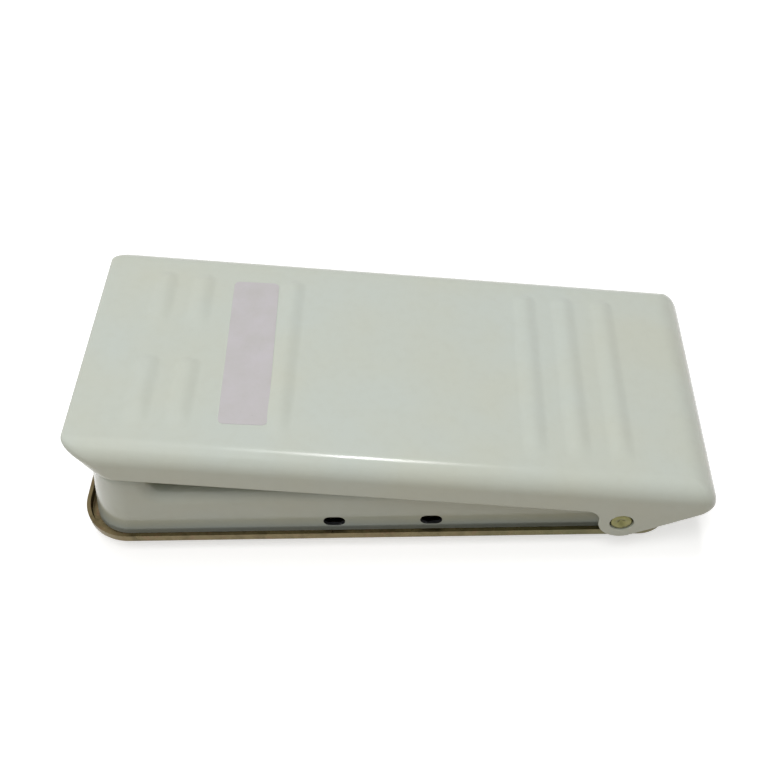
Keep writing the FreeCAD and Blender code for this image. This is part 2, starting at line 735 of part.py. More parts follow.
def housing_form(name, inset, low):
    """The housing as a solid block with its hump, or, with an inset, the space inside it."""
    body = new_body(name)
    side_view = sketch_on(body, name + "_side", "XZ_Plane")
    slack = "(%s) / cos(wall_draft * 1deg)" % inset
    hump, deck = "hump_z - (%s)" % inset, "deck_z - (%s)" % inset
    riser, heel = "riser_x - (%s)" % inset, "wall_heel - (%s)" % inset
    toe_low = "wall_toe + ((%s) - floor_top) * toe_lean + %s" % (low, slack)
    toe_high = "wall_toe + ((%s) - floor_top) * toe_lean + %s" % (hump, slack)
    polygon(side_view, [(toe_low, low), (heel, low), (heel, deck),
                        (riser, deck), (riser, hump), (toe_high, hump)])
    pad(body, name + "_block", side_view, "2 * wall_half - 2 * (%s)" % inset, True)
    riser_x, heel_x = measure(riser), measure(heel)
    hump_z, deck_z, toe_x = measure(hump), measure(deck), measure(toe_high)
    bends = round_edges(name + "_bends", body, [
        (lambda middle, ends, edge: upright(ends) and near(middle.x, heel_x),
         "heel_wall_corner - (%s)" % inset),
        (lambda middle, ends, edge: leaning(ends), "wall_corner - (%s)" % inset),
        (lambda middle, ends, edge: near(middle.x, riser_x) and near(middle.z, hump_z),
         "hump_roll - (%s)" % inset),
        (lambda middle, ends, edge: near(middle.x, riser_x) and near(middle.z, deck_z)
         and near(middle.y, 0), "hump_fillet + (%s)" % inset),
    ])
    doc.recompute()

    # The rim where the walls turn over into the deck and the hump, as one unbroken roll.
    def rim(middle, ends, edge):
        at_end = near(middle.x, toe_x) or near(middle.x, heel_x)
        return middle.z > deck_z - 2 and (not near(middle.y, 0) or at_end)
    return round_edges(name + "_rim", bends, [(rim, "deck_roll - (%s)" % inset)])


def make_housing():
    outer = housing_form("housing_outer", "0", "floor_top")
    inner = housing_form("housing_inner", "housing_sheet", "foot_height - tray_rim")
    shell = cut("housing_shell", outer, inner)

    # Lugs inside the long walls take the foot screws.
    lugs = []
    for number, (x, y) in enumerate(FOOT_PLACES):
        near = "-(wall_half - housing_sheet / 2)" if y.startswith("-") else "foot_y - lug_half"
        lug = block("lug_%d" % number, "2 * lug_half",
                    "wall_half - housing_sheet / 2 - foot_y + lug_half", "lug_sheet",
                    "%s - lug_half" % x, near, "lug_z")
        hole = cylinder("lug_hole_%d" % number, "foot_screw + seat_play", "3 * lug_sheet",
                        x, y, "lug_z - lug_sheet")
        lugs.append(cut("lug_drilled_%d" % number, lug, hole))
    walls = fuse("housing_walls", [shell] + lugs)

    vents = new_body("vents")
    vent_view = sketch_on(vents, "vent_view", "XZ_Plane")
    for place in ("tray_toe + vent_first", "tray_toe + vent_first + vent_pitch"):
        slot(vent_view, place, "foot_height + vent_height", "vent_length", "vent_width")
    pad(vents, "vent_cut", vent_view, "2 * tray_width", True)
    tools = [
        vents,
        cylinder("bush_holes", "pin_radius + bush_wall + seat_play", "2 * tray_width",
                 "pin_x", "-tray_width", "pin_z", ALONG_Y),
        cylinder("guide_hole", "rod_radius + guide_wall + seat_play", "4 * housing_sheet",
                 "rod_x", "0", "deck_z - 3 * housing_sheet"),
    ]
    for number, y in enumerate(("-bumper_half", "bumper_half")):
        tools.append(cylinder("bumper_hole_%d" % number, "bumper_stem + seat_play", "4 * housing_sheet",
                              "bumper_x", y, "hump_z - 3 * housing_sheet"))
    inlet = doc.addObject("Part::Cylinder", "inlet_hole")
    tie(inlet, Radius="grommet_neck + seat_play", Height="8 * housing_sheet")
    turned(inlet, "grommet_x + 4 * housing_sheet * cos(wall_draft * 1deg)", "0",
           "grommet_z - 4 * housing_sheet * sin(wall_draft * 1deg)", "(wall_draft - 90) * 1deg")
    tools.append(inlet)
    return cut("housing", walls, fuse("housing_holes", tools))


def make_pin():
    """The hinge pin, with a chamfer and a dimple at each end and a groove for each ring."""
    end = "(cover_width / 2 - pin_recess)"
    near = "(wall_half - housing_sheet - bush_tail - 3 * seat_play - ring_thick)"
    far = "(wall_half - housing_sheet - bush_tail)"
    half = [
        ("0", "%s - pin_dimple" % end),
        ("pin_dimple_radius", end),
        ("pin_radius - pin_chamfer", end),
        ("pin_radius", "%s - pin_chamfer" % end),
        ("pin_radius", far), ("ring_groove", far), ("ring_groove", near), ("pin_radius", near),
    ]
    other = [(x, "-(%s)" % y) for x, y in reversed(half)]
    body = turned_piece("hinge_pin", "XY_Plane", "V_Axis", half + other)
    return turned(body, "pin_x", "0", "pin_z")


def make_bush():
    body = turned_piece("bush_near", "XY_Plane", "V_Axis", [
        ("pin_radius + seat_play", "-(ear_inner - side_play)"),
        ("pin_radius + bush_collar", "-(ear_inner - side_play)"),
        ("pin_radius + bush_collar", "-wall_half"),
        ("pin_radius + bush_wall", "-wall_half"),
        ("pin_radius + bush_wall", "-(wall_half - housing_sheet - bush_tail)"),
        ("pin_radius + seat_play", "-(wall_half - housing_sheet - bush_tail)"),
    ])
    return both_sides("hinge_bushes", turned(body, "pin_x", "0", "pin_z"))


def open_ring(name, outer, inner, thick, rotation, x, y, z):
    """A flat retaining ring with a mouth."""
    disc = cylinder(name + "_disc", outer, thick, "0", "0", "0")
    bore = cylinder(name + "_bore", inner, "3 * (%s)" % thick, "0", "0", "-(%s)" % thick)
    mouth = block(name + "_mouth", outer, "1.6 * (%s)" % inner, "3 * (%s)" % thick,
                  "0", "-0.8 * (%s)" % inner, "-(%s)" % thick)
    ring = cut(name, disc, fuse(name + "_cut", [bore, mouth]))
    ring.Placement = FreeCAD.Placement(V(), rotation)
    return tie(ring, x=x, y=y, z=z)


def make_feet():
    feet, screws = [], []
    for number, (x, y) in enumerate(FOOT_PLACES):
        cone = doc.addObject("Part::Cone", "foot_cone_%d" % number)
        tie(cone, Radius1="foot_bottom", Radius2="foot_radius", Height="foot_height", x=x, y=y)
        sink = cylinder("foot_sink_%d" % number, "foot_head + free_play", "foot_sunk", x, y, "0")
        hole = cylinder("foot_hole_%d" % number, "foot_screw + 2 * seat_play", "2 * foot_height",
                        x, y, "-foot_height / 2")
        feet.append(cut("foot_%d" % number, cone, fuse("foot_bore_%d" % number, [sink, hole])))
        head = cylinder("foot_screw_head_%d" % number, "foot_head", "foot_head_thick",
                        x, y, "foot_sunk - foot_head_thick")
        shank = cylinder("foot_screw_shank_%d" % number, "foot_screw",
                         "lug_z + 1.5 * lug_sheet - foot_sunk + foot_head_thick / 2", x, y,
                         "foot_sunk - foot_head_thick / 2")
        screws.append(fuse("foot_screw_%d" % number, [head, shank]))
    return group("rubber_feet", feet), group("foot_screws", screws)


def make_grommet():
    """A grooved rubber bush set square to the leaning toe wall."""
    inside = "-(housing_sheet + grommet_inside)"
    body = turned_piece("cord_grommet", "XZ_Plane", "V_Axis", [
        ("grommet_bore", inside),
        ("grommet_flange - grommet_bevel", inside),
        ("grommet_flange", "-(housing_sheet + seat_play)"),
        ("grommet_neck", "-(housing_sheet + seat_play)"),
        ("grommet_neck", "seat_play"),
        ("grommet_flange", "seat_play"),
        ("grommet_flange - grommet_bevel", "grommet_outside"),
        ("grommet_bore", "grommet_outside"),
    ])
    return turned(body, "grommet_x", "0", "grommet_z", "(wall_draft - 90) * 1deg")


def make_bumpers():
    body = turned_piece("bumper_near", "XZ_Plane", "V_Axis", [
        ("0", "-(housing_sheet + bumper_tail)"),
        ("bumper_stem", "-(housing_sheet + bumper_tail)"),
        ("bumper_bulb", "-(housing_sheet + seat_play)"),
        ("bumper_stem", "-(housing_sheet + seat_play)"),
        ("bumper_stem", "seat_play"),
        ("bumper_radius", "seat_play"),
        ("bumper_radius", "bumper_rise - bumper_bevel"),
        ("bumper_radius - bumper_bevel", "bumper_rise"),
        ("0", "bumper_rise"),
    ])
    return both_sides("bump_stops", turned(body, "bumper_x", "-bumper_half", "hump_z"))


def make_guide():
    body = turned_piece("rod_guide", "XZ_Plane", "V_Axis", [
        ("rod_radius + slide_play", "guide_end"),
        ("rod_radius + guide_wall", "guide_end"),
        ("rod_radius + guide_wall", "deck_z"),
        ("guide_flange", "deck_z"),
        ("guide_flange", "deck_z + guide_rise"),
        ("rod_radius + slide_play", "deck_z + guide_rise"),
    ])
    return turned(body, "rod_x", "0", "0")


def make_rod():
    body = turned_piece("rod_turned", "XZ_Plane", "V_Axis", [
        ("0", "collar_low - rod_tail"),
        ("rod_radius - rod_chamfer", "collar_low - rod_tail"),
        ("rod_radius", "collar_low - rod_tail + rod_chamfer"),
        ("rod_radius", "collar_top"),
        ("rod_groove", "collar_top"),
        ("rod_groove", "ring_z + seat_play"),
        ("rod_radius", "ring_z + seat_play"),
        ("rod_radius", "rod_pin_z + rod_head - rod_chamfer"),
        ("rod_radius - rod_chamfer", "rod_pin_z + rod_head"),
        ("0", "rod_pin_z + rod_head"),
    ])
    turned(body, "rod_x", "0", "0")
    hole = cylinder("rod_cross_hole", "rod_pin_radius + seat_play", "4 * rod_radius",
                    "rod_x", "-2 * rod_radius", "rod_pin_z", ALONG_Y)
    rod = cut("push_rod", body, hole)
    pin = cylinder("rod_pin", "rod_pin_radius", "2 * rod_pin_half",
                   "rod_x", "-rod_pin_half", "rod_pin_z", ALONG_Y)
    ring = open_ring("rod_ring", "rod_ring_outer", "rod_groove + seat_play", "rod_ring_thick",
                     ALONG_Z, "rod_x", "0", "ring_z - rod_ring_thick")
    collar = turned_piece("spring_cap", "XZ_Plane", "V_Axis", [
        ("rod_radius + seat_play", "collar_low - collar_hub_drop"),
        ("collar_hub", "collar_low - collar_hub_drop"),
        ("collar_hub", "collar_low"),
        ("collar_radius", "collar_low"),
        ("collar_radius", "collar_top"),
        ("rod_radius + seat_play", "collar_top"),
    ])
    turned(collar, "rod_x", "0", "0")
    return rod, pin, ring, collar


def make_spring_seat():
    body = turned_piece("spring_seat", "XZ_Plane", "V_Axis", [
        ("0", "floor_top"),
        ("seat_radius", "floor_top"),
        ("seat_radius", "seat_top"),
        ("seat_hub", "seat_top"),
        ("seat_hub", "seat_top + seat_hub_rise"),
        ("0", "seat_top + seat_hub_rise"),
    ])
    return turned(body, "rod_x", "0", "0")


def arc_between(start, control, end):
    """The arc that leaves start towards control and reaches end from control."""
    middle = (start + end) / 2
    rise = control - middle
    half_chord = (end - start).Length / 2
    bend = math.acos(min(1.0, half_chord / (control - start).Length))
    top = middle + rise.normalize() * (half_chord * math.tan(bend / 2))
    return Part.Arc(start, top, end).toShape()


def helix_path(radius, low, high, turns):
    """A helix about Z as pairs of tangent arcs, one pair for each quarter turn."""
    rise = (high - low) / (2 * math.pi * turns)
    stretch = math.hypot(radius, rise)

    def spot(angle):
        return V(radius * math.cos(angle), radius * math.sin(angle), low + rise * angle)

    def heading(angle):
        return V(-radius * math.sin(angle), radius * math.cos(angle), rise) / stretch

    edges = []
    count = int(round(4 * turns))
    for number in range(count):
        first = number * 2 * math.pi * turns / count
        last = (number + 1) * 2 * math.pi * turns / count
        start, end = spot(first), spot(last)
        leave, arrive = heading(first), heading(last)
        chord = end - start
        both = leave + arrive
        square = both.Length ** 2 - 4
        mixed = chord.dot(both)
        reach = (mixed - math.sqrt(mixed ** 2 - square * chord.Length ** 2)) / square
        one, other = start + leave * reach, end - arrive * reach
        joint = (one + other) / 2
        edges += [arc_between(start, one, joint), arc_between(joint, other, end)]
    return Part.Wire(edges), heading(0)


def make_spring():
    """The compression spring between its seat and the rod's collar."""
    wire, radius, turns = amount("spring_wire"), amount("spring_radius"), amount("spring_turns")
    low = amount("seat_top") + wire + amount("seat_play")
    high = amount("collar_low") - wire - amount("seat_play")
    path, heading = helix_path(radius, low, high, turns)
    section = Part.Wire(Part.Circle(V(radius, 0, low), heading, wire).toShape())
    item = doc.addObject("Part::Feature", "return_spring")
    item.Shape = path.makePipeShell([section], True, False)
    item.Placement = FreeCAD.Placement(V(amount("rod_x"), 0, 0), FreeCAD.Rotation())
    print("spring: least gap between turns %.2f mm" % ((high - low) / turns - 2 * wire))
    return item


def make_saddle():
    """The channel under the cover whose slots carry the push rod's cross pin."""
    body = new_body("saddle_channel")
    middle = "((slot_rest + slot_low) / 2)"
    section = sketch_on(body, "saddle_section", "YZ_Plane", "%s - saddle_half" % middle)
    outside, inside = "(saddle_gap + saddle_sheet)", "saddle_gap"
    top = "(cover_top - cover_sheet)"
    low = "slot_w - rod_pin_radius - stop_play - saddle_below"
    polygon(section, [
        ("-%s" % outside, low), ("-%s" % inside, low),
        ("-%s" % inside, "%s - saddle_sheet" % top), (inside, "%s - saddle_sheet" % top),
        (inside, low), (outside, low), (outside, top), ("-%s" % outside, top),
    ])
    pad(body, "saddle_bar", section, "2 * saddle_half")
    side_view = sketch_on(body, "saddle_slots_side", "XZ_Plane")
    slot(side_view, middle, "slot_w", "slot_low - slot_rest + 2 * rod_pin_radius + 2 * stop_play",
         "2 * rod_pin_radius + 2 * stop_play")
    pocket(body, "saddle_slots", side_view, "4 * (saddle_gap + saddle_sheet)", True)
    body.Label = "pusher_bracket"
    return turned(body, "pin_x", "0", "pin_z", "tilt")


def make_crank():
    """The forked bell crank: two tines under the collar, and a foot with the adjusting screw."""
    body = new_body("lever")
    side_view = sketch_on(body, "crank_arm_side", "XZ_Plane")
    rectangle(side_view, "0", "crank_reach", "-crank_depth", "crank_back")
    pad(body, "crank_arm", side_view, "2 * crank_half", True)
    nose = sketch_on(body, "crank_nose_side", "XZ_Plane")
    circle(nose, "crank_reach", "0", "crank_nose")
    pad(body, "crank_noses", nose, "2 * crank_half", True)
    hub = sketch_on(body, "crank_hub_side", "XZ_Plane")
    circle(hub, "0", "0", "crank_hub")
    pad(body, "crank_hub_bar", hub, "2 * crank_half", True)
    fork = sketch_on(body, "crank_fork_plan", "XY_Plane")
    rectangle(fork, "crank_hub + bracket_sheet", "2 * crank_reach",
              "-(crank_half - crank_tine)", "crank_half - crank_tine")
    pocket(body, "crank_fork", fork, "8 * crank_nose", True)
    foot = sketch_on(body, "crank_foot_side", "XZ_Plane")
    rectangle(foot, "-crank_foot_thick / 2", "crank_foot_thick / 2", "-(crank_drop + crank_foot)", "0")
    pad(body, "crank_foot_bar", foot, "2 * crank_foot_half", True)
    bore = sketch_on(body, "crank_bore_side", "XZ_Plane")
    circle(bore, "0", "0", "crank_pin + slide_play")
    pocket(body, "crank_bore", bore, "4 * crank_half", True)
    screw_hole = sketch_on(body, "crank_screw_view", "YZ_Plane")
    circle(screw_hole, "0", "-crank_drop", "adjuster_radius + seat_play")
    pocket(body, "crank_screw_hole", screw_hole, "4 * crank_foot_thick", True)
    return turned(body, "crank_x", "0", "crank_z", "-crank_tilt")


def make_adjuster():
    shank = cylinder("adjuster_shank", "adjuster_radius", "adjuster_tip + adjuster_end",
                     "-adjuster_tip", "0", "-crank_drop", ALONG_X)
    head = cylinder("adjuster_cap", "adjuster_head", "adjuster_head_thick",
                    "adjuster_end", "0", "-crank_drop", ALONG_X)
    notch = block("adjuster_notch", "adjuster_head_thick", "adjuster_head_thick / 2", "4 * adjuster_head",
                  "adjuster_end + adjuster_head_thick / 2", "-adjuster_head_thick / 4",
                  "-crank_drop - 2 * adjuster_head")
    screw = cut("adjuster_screw", fuse("adjuster_solid", [shank, head]), notch)
    turned(screw, "crank_x", "0", "crank_z", "-crank_tilt")
    prism = doc.addObject("Part::Prism", "nut_prism")
    prism.Polygon = 6
    prism.Placement = FreeCAD.Placement(V(), ALONG_X)
    tie(prism, Circumradius="nut_flats / (2 * cos(30 * 1deg))", Height="nut_thick",
        x="crank_foot_thick / 2 + seat_play", z="-crank_drop")
    bore = cylinder("nut_bore", "adjuster_radius + seat_play", "3 * nut_thick",
                    "0", "0", "-crank_drop", ALONG_X)
    nut = cut("adjuster_nut", prism, bore)
    turned(nut, "crank_x", "0", "crank_z", "-crank_tilt")
    return screw, nut


def make_crank_bracket():
    """A bent bracket on the tray's floor with a cheek at each end of the crank's hub."""
    inner = "(crank_half + free_play)"
    outer = "(crank_half + free_play + bracket_sheet)"
    plate = block("bracket_plate", "2 * bracket_base_half", "2 * %s" % outer, "bracket_base",
                  "crank_x - bracket_base_half", "-%s" % outer, "floor_top")
    window = block("bracket_window", "2 * bracket_base_half", "2 * (crank_foot_half + free_play)",
                   "3 * bracket_base", "crank_x - bracket_base_half + bracket_strip",
                   "-(crank_foot_half + free_play)", "floor_top - bracket_base")
    pieces = [cut("bracket_foot", plate, window)]
    for side, start in (("near", "-%s" % outer), ("far", inner)):
        pieces.append(block("bracket_cheek_" + side, "2 * bracket_half", "bracket_sheet",
                            "crank_z - floor_top", "crank_x - bracket_half", start, "floor_top"))
        pieces.append(cylinder("bracket_crown_" + side, "bracket_half", "bracket_sheet",
                               "crank_x", start, "crank_z", ALONG_Y))
    hole = cylinder("bracket_hole", "crank_pin + seat_play", "4 * crank_half",
                    "crank_x", "-2 * crank_half", "crank_z", ALONG_Y)
    bracket = cut("lever_bracket", fuse("bracket_bent", pieces), hole)
    ends = "(%s + seat_play)" % outer
    shaft = cylinder("crank_pin_shaft", "crank_pin", "2 * %s" % ends,
                     "crank_x", "-%s" % ends, "crank_z", ALONG_Y)
    near_cap = cylinder("crank_pin_near", "crank_pin_head", "crank_pin_cap",
                        "crank_x", "-%s - crank_pin_cap" % ends, "crank_z", ALONG_Y)
    far_cap = cylinder("crank_pin_far", "crank_pin_head", "crank_pin_cap",
                       "crank_x", ends, "crank_z", ALONG_Y)
    return bracket, fuse("lever_pin", [shaft, near_cap, far_cap])


def make_block():
    """The ceramic block with its two bores and the sheet, discs and fittings round it."""
    stone = doc.addObject("Part::Box", "block_blank")
    tie(stone, Length="block_length", Width="block_width", Height="block_height",
        x="block_toe", y="-block_width / 2", z="block_z")
    edges = round_edges("block_softened", stone, [
        (lambda middle, ends, edge: upright(ends), "block_chamfer")])
    bores = [cylinder("block_bore_%d" % number, "bore_radius", "2 * block_length",
                      "block_toe - block_length / 2", y, "bore_z", ALONG_X)
             for number, y in enumerate(PILE_PLACES)]
    screw_holes = [cylinder("block_hole_%d" % number, "block_screw + seat_play", "2 * block_height",
                            x, "0", "block_z - block_height / 2")
                   for number, x in enumerate(BLOCK_SCREW_PLACES)]
    tapped = [cylinder("block_tapped_%d" % number, "terminal_radius + seat_play", "terminal_depth + seat_play",
                       "block_toe + terminal_inset", y, "block_top - terminal_depth - seat_play")
              for number, y in enumerate(PILE_PLACES)]
    stone = cut("ceramic_block", edges, fuse("block_cuts", bores + screw_holes + tapped))

    paper = block("paper", "block_length + sheet_margin", "block_width + 2 * sheet_margin", "sheet_thick",
                  "block_toe - sheet_margin", "-block_width / 2 - sheet_margin", "floor_top")
    paper_holes = [cylinder("paper_hole_%d" % number, "block_screw + seat_play", "4 * sheet_thick",
                            x, "0", "floor_top - sheet_thick")
                   for number, x in enumerate(BLOCK_SCREW_PLACES)]
    paper = cut("insulating_sheet", paper, fuse("paper_holes", paper_holes))

    screws = []
    for number, x in enumerate(BLOCK_SCREW_PLACES):
        head = cylinder("block_screw_head_%d" % number, "block_screw_head", "block_screw_cap",
                        x, "0", "block_top")
        shank = cylinder("block_screw_shank_%d" % number, "block_screw",
                         "block_top - foot_height - tray_sheet / 4 + block_screw_cap / 2",
                         x, "0", "foot_height + tray_sheet / 4")
        screws.append(fuse("block_screw_%d" % number, [head, shank]))

    discs = []
    for row, y in enumerate(PILE_PLACES):
        for number in range(int(amount("disc_count"))):
            discs.append(cylinder("disc_%d_%d" % (row, number), "bore_radius - seat_play",
                                  "disc_pitch - seat_play",
                                  "block_toe + contact_stub + seat_play + %d * disc_pitch" % number,
                                  y, "bore_z", ALONG_X))

    contacts, terminals = [], []
    for number, y in enumerate(PILE_PLACES):
        leg = block("contact_leg_%d" % number, "contact_thick", "contact_width",
                    "block_top + contact_thick - bore_z + bore_radius",
                    "block_toe - contact_thick", "%s - contact_width / 2" % y, "bore_z - bore_radius")
        top = block("contact_top_%d" % number, "contact_leg + contact_thick", "contact_width", "contact_thick",
                    "block_toe - contact_thick", "%s - contact_width / 2" % y, "block_top")
        stub = cylinder("contact_stub_%d" % number, "bore_radius - seat_play",
                        "contact_stub + contact_thick / 2",
                        "block_toe - contact_thick / 2", y, "bore_z", ALONG_X)
        hole = cylinder("contact_hole_%d" % number, "terminal_radius + seat_play", "4 * contact_thick",
                        "block_toe + terminal_inset", y, "block_top - contact_thick")
        contacts.append(cut("contact_%d" % number, fuse("contact_bent_%d" % number, [leg, top, stub]), hole))
        head = cylinder("terminal_head_%d" % number, "terminal_head", "terminal_rise",
                        "block_toe + terminal_inset", y, "block_top + contact_thick")
        shank = cylinder("terminal_shank_%d" % number, "terminal_radius",
                         "terminal_depth + contact_thick + terminal_rise / 2",
                         "block_toe + terminal_inset", y, "block_top - terminal_depth")
        terminals.append(fuse("terminal_%d" % number, [head, shank]))
    return (stone, paper, group("block_screws", screws), group("carbon_discs", discs),
            group("end_contacts", contacts), group("terminal_screws", terminals))


def make_contact():
    """The brass bridge and the two carbon plugs that it pushes into the bores."""
    bar = block("bridge_bar", "bridge_thick", "2 * bridge_half", "bridge_high - bridge_low",
                "bridge_x", "-bridge_half", "floor_top + bridge_low")
    bridge = round_edges("contact_bridge", bar, [
        (lambda middle, ends, edge: abs(ends.x) > 0.1, "bridge_thick")])
    plugs = [cylinder("plug_%d" % number, "plug_radius", "plug_length",
                      "bridge_x - plug_length", y, "bore_z", ALONG_X)
             for number, y in enumerate(PILE_PLACES)]
    return bridge, group("contact_plugs", plugs)


def make_capacitor():
    """The noise suppression capacitor, its wire ends and the clip that holds it down."""
    can = cylinder("noise_capacitor", "capacitor_radius", "capacitor_length",
                   "capacitor_x", "-capacitor_length / 2", "capacitor_z", ALONG_Y)
    near = cylinder("lead_near", "lead_radius", "lead_length",
                    "capacitor_x", "-capacitor_length / 2 - lead_length", "capacitor_z", ALONG_Y)
    far = cylinder("lead_far", "lead_radius", "lead_length",
                   "capacitor_x", "capacitor_length / 2", "capacitor_z", ALONG_Y)
    band = cylinder("clip_band", "capacitor_radius + seat_play + clip_sheet", "clip_width",
                    "capacitor_x", "-clip_width / 2", "capacitor_z", ALONG_Y)
    foot = block("clip_foot_plate", "clip_foot", "clip_width", "clip_sheet",
                 "capacitor_x - capacitor_radius", "-clip_width / 2", "floor_top")
    bore = cylinder("clip_bore", "capacitor_radius + seat_play", "2 * clip_width",
                    "capacitor_x", "-clip_width", "capacitor_z", ALONG_Y)
    mouth = block("clip_mouth_gap", "clip_mouth", "2 * clip_width", "2 * capacitor_radius",
                  "capacitor_x - clip_mouth / 2", "-clip_width", "capacitor_z + capacitor_radius / 2")
    below = block("clip_below", "4 * capacitor_radius", "2 * clip_width", "capacitor_radius",
                  "capacitor_x - 2 * capacitor_radius", "-clip_width", "floor_top - capacitor_radius")
    clip = cut("capacitor_clip", fuse("clip_bent", [band, foot]), fuse("clip_cuts", [bore, mouth, below]))
    return can, group("capacitor_leads", [near, far]), clip


cover = make_cover()
feet, foot_screws = make_feet()
rod, rod_pin, rod_ring, collar = make_rod()
screw, nut = make_adjuster()
bracket, crank_pin = make_crank_bracket()
stone, paper, block_screws, discs, contacts, terminals = make_block()
bridge, plugs = make_contact()
can, leads, clip = make_capacitor()
ring_y = "-(wall_half - housing_sheet - bush_tail - seat_play)"
ring = open_ring("ring_near", "ring_outer", "ring_groove + seat_play", "ring_thick",
                 ALONG_Y, "pin_x", ring_y, "pin_z")

NODES = [
    cover, make_saddle(),
    make_tray(), make_housing(), make_pin(), make_bush(), both_sides("retaining_rings", ring),
    feet, foot_screws, make_grommet(), make_bumpers(), make_guide(), make_spring_seat(), make_spring(),
    bracket, crank_pin, stone, paper, block_screws, discs, contacts, terminals, can, leads, clip,
    rod, rod_pin, rod_ring, collar,
    make_crank(), screw, nut,
    bridge, plugs,
]
doc.recompute()

for item in doc.Objects:
    if "Invalid" in item.State or "Error" in item.State:
        raise RuntimeError("%s failed: %s" % (item.Name, item.State))

os.makedirs("parts", exist_ok=True)
for node in NODES:
    shape = node.Shape
    if shape.isNull() or not shape.isValid():
        raise RuntimeError("%s has no sound shape" % node.Label)
    shape.exportStep("parts/%s.step" % node.Label)
    print(node.Label, len(shape.Solids), round(shape.Volume, 1))
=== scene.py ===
"""The looks of a sewing machine foot pedal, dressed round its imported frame.

It stands in the frame's own place: +X runs from the toe end to the heel end, +Z is up.
Lengths are written in millimetres, which MM carries to metres. Those of the floor and the
lamps are in metres.
"""
import json
import math

import bmesh
import bpy
import numpy as np
from mathutils import Matrix, Vector

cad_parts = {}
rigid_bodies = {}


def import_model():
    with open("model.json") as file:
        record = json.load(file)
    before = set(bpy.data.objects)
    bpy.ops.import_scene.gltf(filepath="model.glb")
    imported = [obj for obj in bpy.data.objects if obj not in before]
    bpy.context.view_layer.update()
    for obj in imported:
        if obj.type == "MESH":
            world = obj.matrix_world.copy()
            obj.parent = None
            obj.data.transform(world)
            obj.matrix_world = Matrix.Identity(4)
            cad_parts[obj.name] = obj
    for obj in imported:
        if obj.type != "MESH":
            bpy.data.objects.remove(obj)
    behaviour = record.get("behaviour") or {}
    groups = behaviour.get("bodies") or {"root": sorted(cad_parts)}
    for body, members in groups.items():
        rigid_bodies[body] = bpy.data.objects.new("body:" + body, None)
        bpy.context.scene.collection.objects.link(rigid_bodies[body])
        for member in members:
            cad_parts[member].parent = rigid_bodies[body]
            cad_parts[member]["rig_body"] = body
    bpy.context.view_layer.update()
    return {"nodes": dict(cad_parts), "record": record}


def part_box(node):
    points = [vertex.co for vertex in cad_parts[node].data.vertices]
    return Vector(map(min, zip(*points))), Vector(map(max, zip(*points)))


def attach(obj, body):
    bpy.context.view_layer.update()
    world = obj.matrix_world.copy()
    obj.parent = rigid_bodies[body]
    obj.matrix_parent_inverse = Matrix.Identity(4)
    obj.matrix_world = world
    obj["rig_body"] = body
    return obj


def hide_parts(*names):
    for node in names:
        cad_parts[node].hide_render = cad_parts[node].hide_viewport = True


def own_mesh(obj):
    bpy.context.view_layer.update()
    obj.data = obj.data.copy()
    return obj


MM = 0.001

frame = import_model()
NODES = frame["nodes"]


def middle_of(node):
    """The centre of a frame node's box, in millimetres."""
    low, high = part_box(node)
    return (np.array(low) + np.array(high)) / 2 / MM


# Colours and finishes

def linear(code):
    """An sRGB hex colour as the linear values that a shader takes."""
    parts = [int(code[place:place + 2], 16) / 255 for place in (1, 3, 5)]
    levels = [part / 12.92 if part <= 0.04045 else ((part + 0.055) / 1.055) ** 2.4 for part in parts]
    return levels + [1.0]


def add(tree, kind, inputs=None, **settings):
    """Add one node with its settings, its values and its links."""
    item = tree.nodes.new(kind)
    for name, value in settings.items():
        setattr(item, name, value)
    for name, value in (inputs or {}).items():
        if isinstance(value, bpy.types.NodeSocket):
            tree.links.new(value, item.inputs[name])
        else:
            item.inputs[name].default_value = value
    return item


def blank_material(name):
    """A new material with its surface shader and the piece's own coordinates."""
    material = bpy.data.materials.new(name)
    material.use_nodes = True
    tree = material.node_tree
    tree.nodes.clear()
    surface = add(tree, "ShaderNodeBsdfPrincipled")
    add(tree, "ShaderNodeOutputMaterial", {"Surface": surface.outputs[0]})
    place = add(tree, "ShaderNodeTexCoord").outputs["Object"]
    return material, tree, surface, place


def dress(tree, surface, colour, rough, normal, **values):
    """Lead a colour, a roughness and a normal to the surface, and set its plain values."""
    for name, socket in (("Base Color", colour), ("Roughness", rough), ("Normal", normal)):
        tree.links.new(socket, surface.inputs[name])
    for name, value in values.items():
        surface.inputs[name].default_value = value


def blotches(tree, place, size, detail, low, high, least=0.0, most=1.0, **shape):
    """Soft blotches about size millimetres across, as a value from least to most: noise cut
    between two levels."""
    pattern = add(tree, "ShaderNodeTexNoise", {
        "Vector": place, "Scale": 1 / (size * MM), "Detail": detail, "Roughness": 0.55, **shape})
    return add(tree, "ShaderNodeMapRange", {
        "Value": pattern.outputs["Fac"], "From Min": low, "From Max": high,
        "To Min": least, "To Max": most}).outputs["Result"]


def layered(tree, base, layers):
    """A base colour with others laid over it one after another, each by its own amount.
    Sockets 0, 6 and 7 of the node are the amount and the two colours."""
    colour = linear(base)
    for amount, code in layers:
        colour = add(tree, "ShaderNodeMix", {0: amount, 6: colour, 7: linear(code)},
                     data_type="RGBA").outputs[2]
    return colour


def grained(tree, place, size, detail, depth, under=None):
    """A grain of noise about size millimetres across and depth millimetres high, on top of
    another one or on the bare surface."""
    pattern = add(tree, "ShaderNodeTexNoise", {
        "Vector": place, "Scale": 1 / (size * MM), "Detail": detail, "Roughness": 0.55})
    inputs = {"Height": pattern.outputs["Fac"], "Distance": depth * MM, "Strength": 1.0}
    if under is not None:
        inputs["Normal"] = under
    return add(tree, "ShaderNodeBump", inputs).outputs["Normal"]


